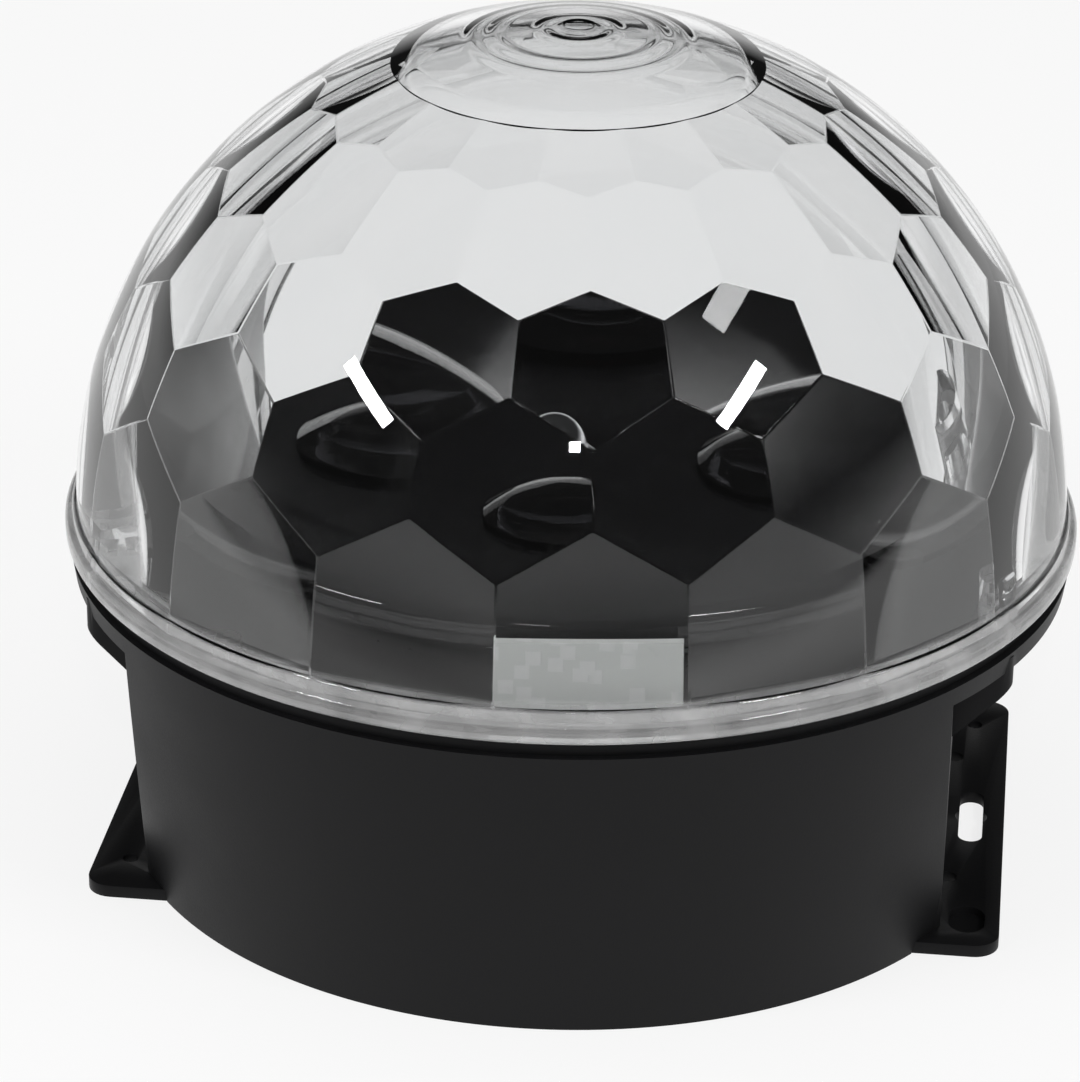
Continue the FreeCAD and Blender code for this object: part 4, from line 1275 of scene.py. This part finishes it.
@dataclass
class SpinningDish:
    """The glossy black dish, its lenses and its bright nut."""

    radius: float = 80.0
    foot: float = 74.0
    rim: float = 80.0
    land: float = 84.0
    land_radius: float = 62.0
    wall: float = 2.0
    hub_radius: float = 9.0
    hub_top: float = 86.0
    hub_low: float = 77.0
    shaft: float = 2.5
    lens_circle: float = 42.0
    lens_radius: float = 11.0
    lens_seat: float = 1.2
    lens_thick: float = 2.0
    lens_crown: float = 3.6
    lenses: int = 6
    nut_radius: float = 4.6
    nut_height: float = 2.4
    nut_crown: float = 3.4

    def dish(self) -> None:
        """The dish itself: a spun shell with rounded edges, hub and lens seats."""
        r, t = self.radius, self.wall
        outline = [(self.shaft, self.hub_low), (self.hub_radius, self.hub_low)]
        outline += [(self.hub_radius, self.land - t), (self.land_radius - 1.0, self.land - t)]
        outline += [(r - t, self.rim - t), (r - t, self.foot)]
        outline += [(r - 0.5, self.foot), (r, self.foot + 0.5)]
        outline += arc(1.6, (r - 1.6, self.rim - 1.9), 0, 77, 5)
        outline += [(self.land_radius + 1.5, self.land - 0.35)]
        outline += [(self.land_radius, self.land - 0.1), (self.land_radius - 1.5, self.land)]
        outline += [(self.hub_radius + 2.0, self.land), (self.hub_radius + 0.7, self.land + 0.4)]
        outline += [(self.hub_radius, self.hub_top - 0.7), (self.hub_radius - 0.7, self.hub_top)]
        outline += [(self.shaft, self.hub_top)]
        dish = Bench.turned("lens_carrier", outline, 180)
        tools = []
        low, seat, high = self.land - 2 * t, self.land - t / 2, self.land + 4
        well = self.lens_radius - self.lens_seat
        for spot in self.spots():
            tools.append(Bench.cylinder("well", well, low, high, spot, 64))
            tools.append(Bench.cylinder("seat", self.lens_radius + 0.1, seat, high, spot, 64))
        Bench.cut(dish, tools)
        Bench.merged(dish, 28.0)
        dress(dish, Finish.GLOSS_BLACK, Body.ROTOR, "lens_carrier")

    def spots(self) -> list[Point]:
        """Centres of the lenses."""
        return [polar(self.lens_circle, 360.0 / self.lenses * i) for i in range(self.lenses)]

    def lens_set(self) -> None:
        """Smoked domed lenses in their seats."""
        low = self.land - self.wall / 2
        high = low + self.lens_thick
        ball = (self.lens_radius ** 2 + self.lens_crown ** 2) / (2 * self.lens_crown)
        start = math.degrees(math.acos(self.lens_radius / ball))
        outline = [(0.0, low), (self.lens_radius - 0.3, low), (self.lens_radius, low + 0.3)]
        outline += arc(ball, (0.0, high + self.lens_crown - ball), start, 90, 14)[:-1]
        outline += [(0.0, high + self.lens_crown)]
        first = Bench.turned("lens", outline, 64)
        Bench.smooth(first, 30.0)
        first.data.transform(Matrix.Translation((0, -self.lens_circle * MM, 0)))
        lenses = Bench.joined("carrier_lenses", Bench.copies(first, self.lenses))
        dress(lenses, Finish.LENS, Body.ROTOR, "carrier_lenses")

    def nut(self) -> None:
        """A bright dome nut."""
        Bench.clear()
        bpy.ops.mesh.primitive_cylinder_add(
            vertices=6,
            radius=self.nut_radius * MM,
            depth=self.nut_height * MM,
            location=(0, 0, (self.hub_top + self.nut_height / 2) * MM),
            rotation=(0, 0, math.pi / 6),
        )
        nut = Bench.named("carrier_nut")
        low, high = self.hub_top + self.nut_height * 0.5, self.hub_top + self.nut_height
        outline = [(0.0, low), (self.nut_crown, low)]
        outline += arc(self.nut_crown, (0.0, high), 0, 90, 12)[:-1]
        outline += [(0.0, high + self.nut_crown)]
        Bench.add(nut, [Bench.turned("crown", outline, 48)])
        bore = Bench.cylinder("bore", self.shaft, self.hub_top - 1, self.hub_top + 2.4, sides=32)
        Bench.cut(nut, [bore])
        Bench.soften(nut, 0.25, 35.0, 2)
        dress(nut, Finish.CHROME, Body.ROTOR, "carrier_nut")

    def build(self) -> None:
        """Model and dress everything that spins on the dish."""
        self.dish()
        self.lens_set()
        self.nut()


@dataclass
class CadFinishes:
    """Finishes of the solids that stay, and of those that only get smooth shading."""

    plain: dict[str, Finish] = field(default_factory=lambda: {
        "dome_screws": Finish.ZINC,
        "base_screws": Finish.ZINC,
        "deck_screws": Finish.ZINC,
        "motor_screws": Finish.ZINC,
        "lamp_board": Finish.BOARD_WHITE,
        "receiver_board": Finish.BOARD_WHITE,
        "receiver_foot": Finish.SATIN_BLACK,
        "power_board": Finish.BOARD_GREEN,
        "control_board": Finish.BOARD_GREEN,
        "control_chips": Finish.CHIP,
        "inlet_blades": Finish.BRASS,
    })
    softened: dict[str, tuple[Finish, float]] = field(default_factory=lambda: {
        "dome_gasket": (Finish.RUBBER, 0.15),
        "deck": (Finish.DECK_BLACK, 0.25),
        "heat_sink": (Finish.CAST, 0.2),
        "red_lamps": (Finish.RED, 0.1),
        "green_lamps": (Finish.GREEN, 0.1),
        "blue_lamps": (Finish.BLUE, 0.1),
        "reflector_cups": (Finish.CHROME, 0.1),
        "motor": (Finish.TIN, 0.3),
        "motor_spacers": (Finish.GREY, 0.15),
        "motor_shaft": (Finish.ZINC, 0.2),
        "receiver_eye": (Finish.SMOKED, 0.2),
        "receiver_lamps": (Finish.RED, 0.2),
        "power_board_posts": (Finish.GREY, 0.2),
        "control_board_posts": (Finish.GREY, 0.2),
        "transformer": (Finish.COPPER, 0.3),
        "capacitors": (Finish.SLEEVE, 0.5),
        "board_sockets": (Finish.WHITE, 0.15),
        "mains_inlet": (Finish.SATIN_BLACK, 0.3),
        "switch_frame": (Finish.SATIN_BLACK, 0.3),
        "switch_rocker": (Finish.GLOSS_BLACK, 0.4),
        "fuse_holder": (Finish.SATIN_BLACK, 0.3),
        "fuse_cap": (Finish.SATIN_BLACK, 0.3),
        "sensitivity_control": (Finish.TIN, 0.25),
        "sensitivity_knob": (Finish.SATIN_BLACK, 0.15),
        "microphone": (Finish.TIN, 0.2),
    })
    moving: dict[str, Body] = field(default_factory=lambda: {
        "motor_shaft": Body.ROTOR,
        "switch_rocker": Body.ROCKER,
        "sensitivity_knob": Body.KNOB,
    })

    def build(self, frame: dict[str, object]) -> None:
        """Dress the solids that stay and round off copies of the rest.
        """
        nodes: dict[str, bpy.types.Object] = frame["nodes"]
        for name, finish in self.plain.items():
            solid = nodes[name]
            solid.data.materials.clear()
            solid.data.materials.append(finish.material())
        for name, (finish, width) in self.softened.items():
            twin = nodes[name].copy()
            twin.data = nodes[name].data.copy()
            twin.parent = None
            for key in [k for k in twin.keys() if k.startswith("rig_")]:
                del twin[key]
            bpy.context.collection.objects.link(twin)
            twin.name = name + "_finished"
            Bench.soften(twin, width, 30.0, 2)
            dress(twin, finish, self.moving.get(name, Body.STAND), name)


@dataclass
class Studio:
    """Floor, backdrop, lamps and camera.

    Args:
        camera_place: Where the camera stands, in mm.
        yaw: How far it turns to the left, in degrees.
        pitch: How far it looks down, in degrees.
        roll: How far it is tipped, in degrees.
        lens: Its focal length in mm.
        sensor: Width of its sensor in mm.
        level: Strength of the even light.
        dim_level: Strength of the room that gloss and glass show.
        horizon: Height above which that room starts to dim.
        horizon_fall: How fast it dims.
        floor_glow: How white the floor looks to the camera, gloss and glass.
        dark_front: How far in front the floor turns dark in gloss, in metres.
        floor_radius: Radius of the floor in metres.
        floor_rim: Width of its outer ring in metres.
        aim: What the lamps face, in mm.
        lamps: Place in mm, width and height in mm, watts and turn in degrees of each.
    """

    camera_place: Place = (81.3, -779.4, 426.1)
    yaw: float = 6.397
    pitch: float = 25.121
    roll: float = 0.754
    lens: float = 144.5
    sensor: float = 36.0
    level: float = 0.6
    dim_level: float = 0.03
    horizon: float = 0.05
    horizon_fall: float = 5.0
    floor_glow: float = 0.8
    dark_front: float = 0.45
    floor_radius: float = 3.0
    floor_rim: float = 2.2
    aim: Place = (0.0, 0.0, 80.0)
    lamps: dict[str, tuple[Place, Point, float, float]] = field(default_factory=lambda: {
        "left": ((-749, -610, 737), (350, 60), 3.5, -22.0),
        "right": ((745, -540, 803), (340, 60), 3.5, 28.0),
        "flash": ((116, -980, 747), (45, 45), 1.0, 0.0),
    })

    def camera(self) -> None:
        """The camera at the photograph's angle."""
        data = bpy.data.cameras.new("camera")
        data.lens = self.lens
        data.sensor_width = self.sensor
        data.sensor_fit = "HORIZONTAL"
        data.clip_start = 0.01
        obj = bpy.data.objects.new("camera", data)
        bpy.context.collection.objects.link(obj)
        turn = Matrix.Rotation(math.radians(self.yaw), 4, "Z")
        turn @= Matrix.Rotation(math.radians(90 - self.pitch), 4, "X")
        turn @= Matrix.Rotation(math.radians(self.roll), 4, "Z")
        obj.matrix_world = Matrix.Translation(Vector(self.camera_place) * MM) @ turn
        bpy.context.scene.camera = obj

    def floor(self) -> None:
        """A plain pale floor that keeps the object's shadow."""
        Bench.clear()
        bpy.ops.mesh.primitive_circle_add(
            vertices=96, radius=self.floor_radius, fill_type="NGON"
        )
        floor = Bench.named("floor")
        Bench.edit(floor)
        bpy.ops.mesh.inset(thickness=self.floor_rim)
        Bench.done()
        paint = Paint("floor_white")
        lit, dark = (
            paint.out_of(paint.node("ShaderNodeBsdfDiffuse", values={"Color": (c, c, c)}))
            for c in (0.9, 0.01)
        )
        white = paint.out_of(paint.node("ShaderNodeEmission", values={"Color": WHITE}))
        path = paint.node("ShaderNodeLightPath")
        glossy = paint.out_of(path, "Is Glossy Ray")
        near = ((paint.part(paint.place(), "Y") + self.dark_front) * 5.0).clamp()
        seen = paint.out_of(path, "Is Camera Ray").or_else(glossy * near)
        seen = seen.or_else(paint.out_of(path, "Is Transmission Ray")) * self.floor_glow
        shown = paint.mixed(seen, lit, white)
        floor.data.materials.append(paint.done(paint.mixed(glossy * (1.0 - near), shown, dark)))

    def world(self) -> None:
        """Even light on the object, a white backdrop, and a dim room for gloss and glass."""
        world = bpy.data.worlds.new("studio")
        bpy.context.scene.world = world
        world.use_nodes = True
        sky = Graph(world.node_tree)
        path = sky.node("ShaderNodeLightPath")
        way = sky.out_of(sky.node("ShaderNodeTexCoord"), "Generated")
        low = (1.0 - (sky.part(way, "Z") - self.horizon) * self.horizon_fall).clamp()
        low = low * ((sky.part(way, "Y") + 0.5) * 2.0).clamp()
        through = sky.out_of(path, "Is Transmission Ray")
        inside = through * sky.out_of(path, "Diffuse Depth").clamp()
        mirrored_ray = sky.out_of(path, "Is Glossy Ray").or_else(through) * (1.0 - inside)
        even, dim, white = (
            sky.out_of(sky.node("ShaderNodeBackground", values={"Color": WHITE, "Strength": s}))
            for s in (self.level, self.dim_level, 1.0)
        )
        bright = sky.out_of(path, "Is Camera Ray").or_else(mirrored_ray * low).or_else(inside)
        room = sky.mixed(bright, sky.mixed(mirrored_ray, even, dim), white)
        sky.node("ShaderNodeOutputWorld", values={"Surface": room})

    def lamp(self, name: str, place: Place, size: Point, watts: float, turn: float) -> None:
        """One soft lamp that faces the object.

        Args:
            name: Its name.
            place: Where it stands, in mm.
            size: Its width and height in mm.
            watts: Its power.
            turn: How far it is turned about its own axis, in degrees.
        """
        data = bpy.data.lights.new(name, "AREA")
        data.shape = "RECTANGLE"
        data.size, data.size_y = size[0] * MM, size[1] * MM
        data.energy = watts
        obj = bpy.data.objects.new(name, data)
        bpy.context.collection.objects.link(obj)
        spot = Vector(place) * MM
        way = (Vector(self.aim) * MM - spot).to_track_quat("-Z", "Y").to_matrix().to_4x4()
        way @= Matrix.Rotation(math.radians(turn), 4, "Z")
        obj.matrix_world = Matrix.Translation(spot) @ way

    def build(self) -> None:
        """Set up the whole studio."""
        bpy.context.scene.view_settings.view_transform = "Standard"
        self.camera()
        self.floor()
        self.world()
        for name, values in self.lamps.items():
            self.lamp(name, *values)


def main() -> None:
    """Build the light around its solids."""
    logging.basicConfig(level=logging.INFO, format="%(name)s %(message)s")
    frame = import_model()
    Studio().build()
    FacetedDome().build()
    Drum().build()
    Eared().build()
    SpinningDish().build()
    CadFinishes().build(frame)
    Bench.clear()


if __name__ == "__main__":
    main()
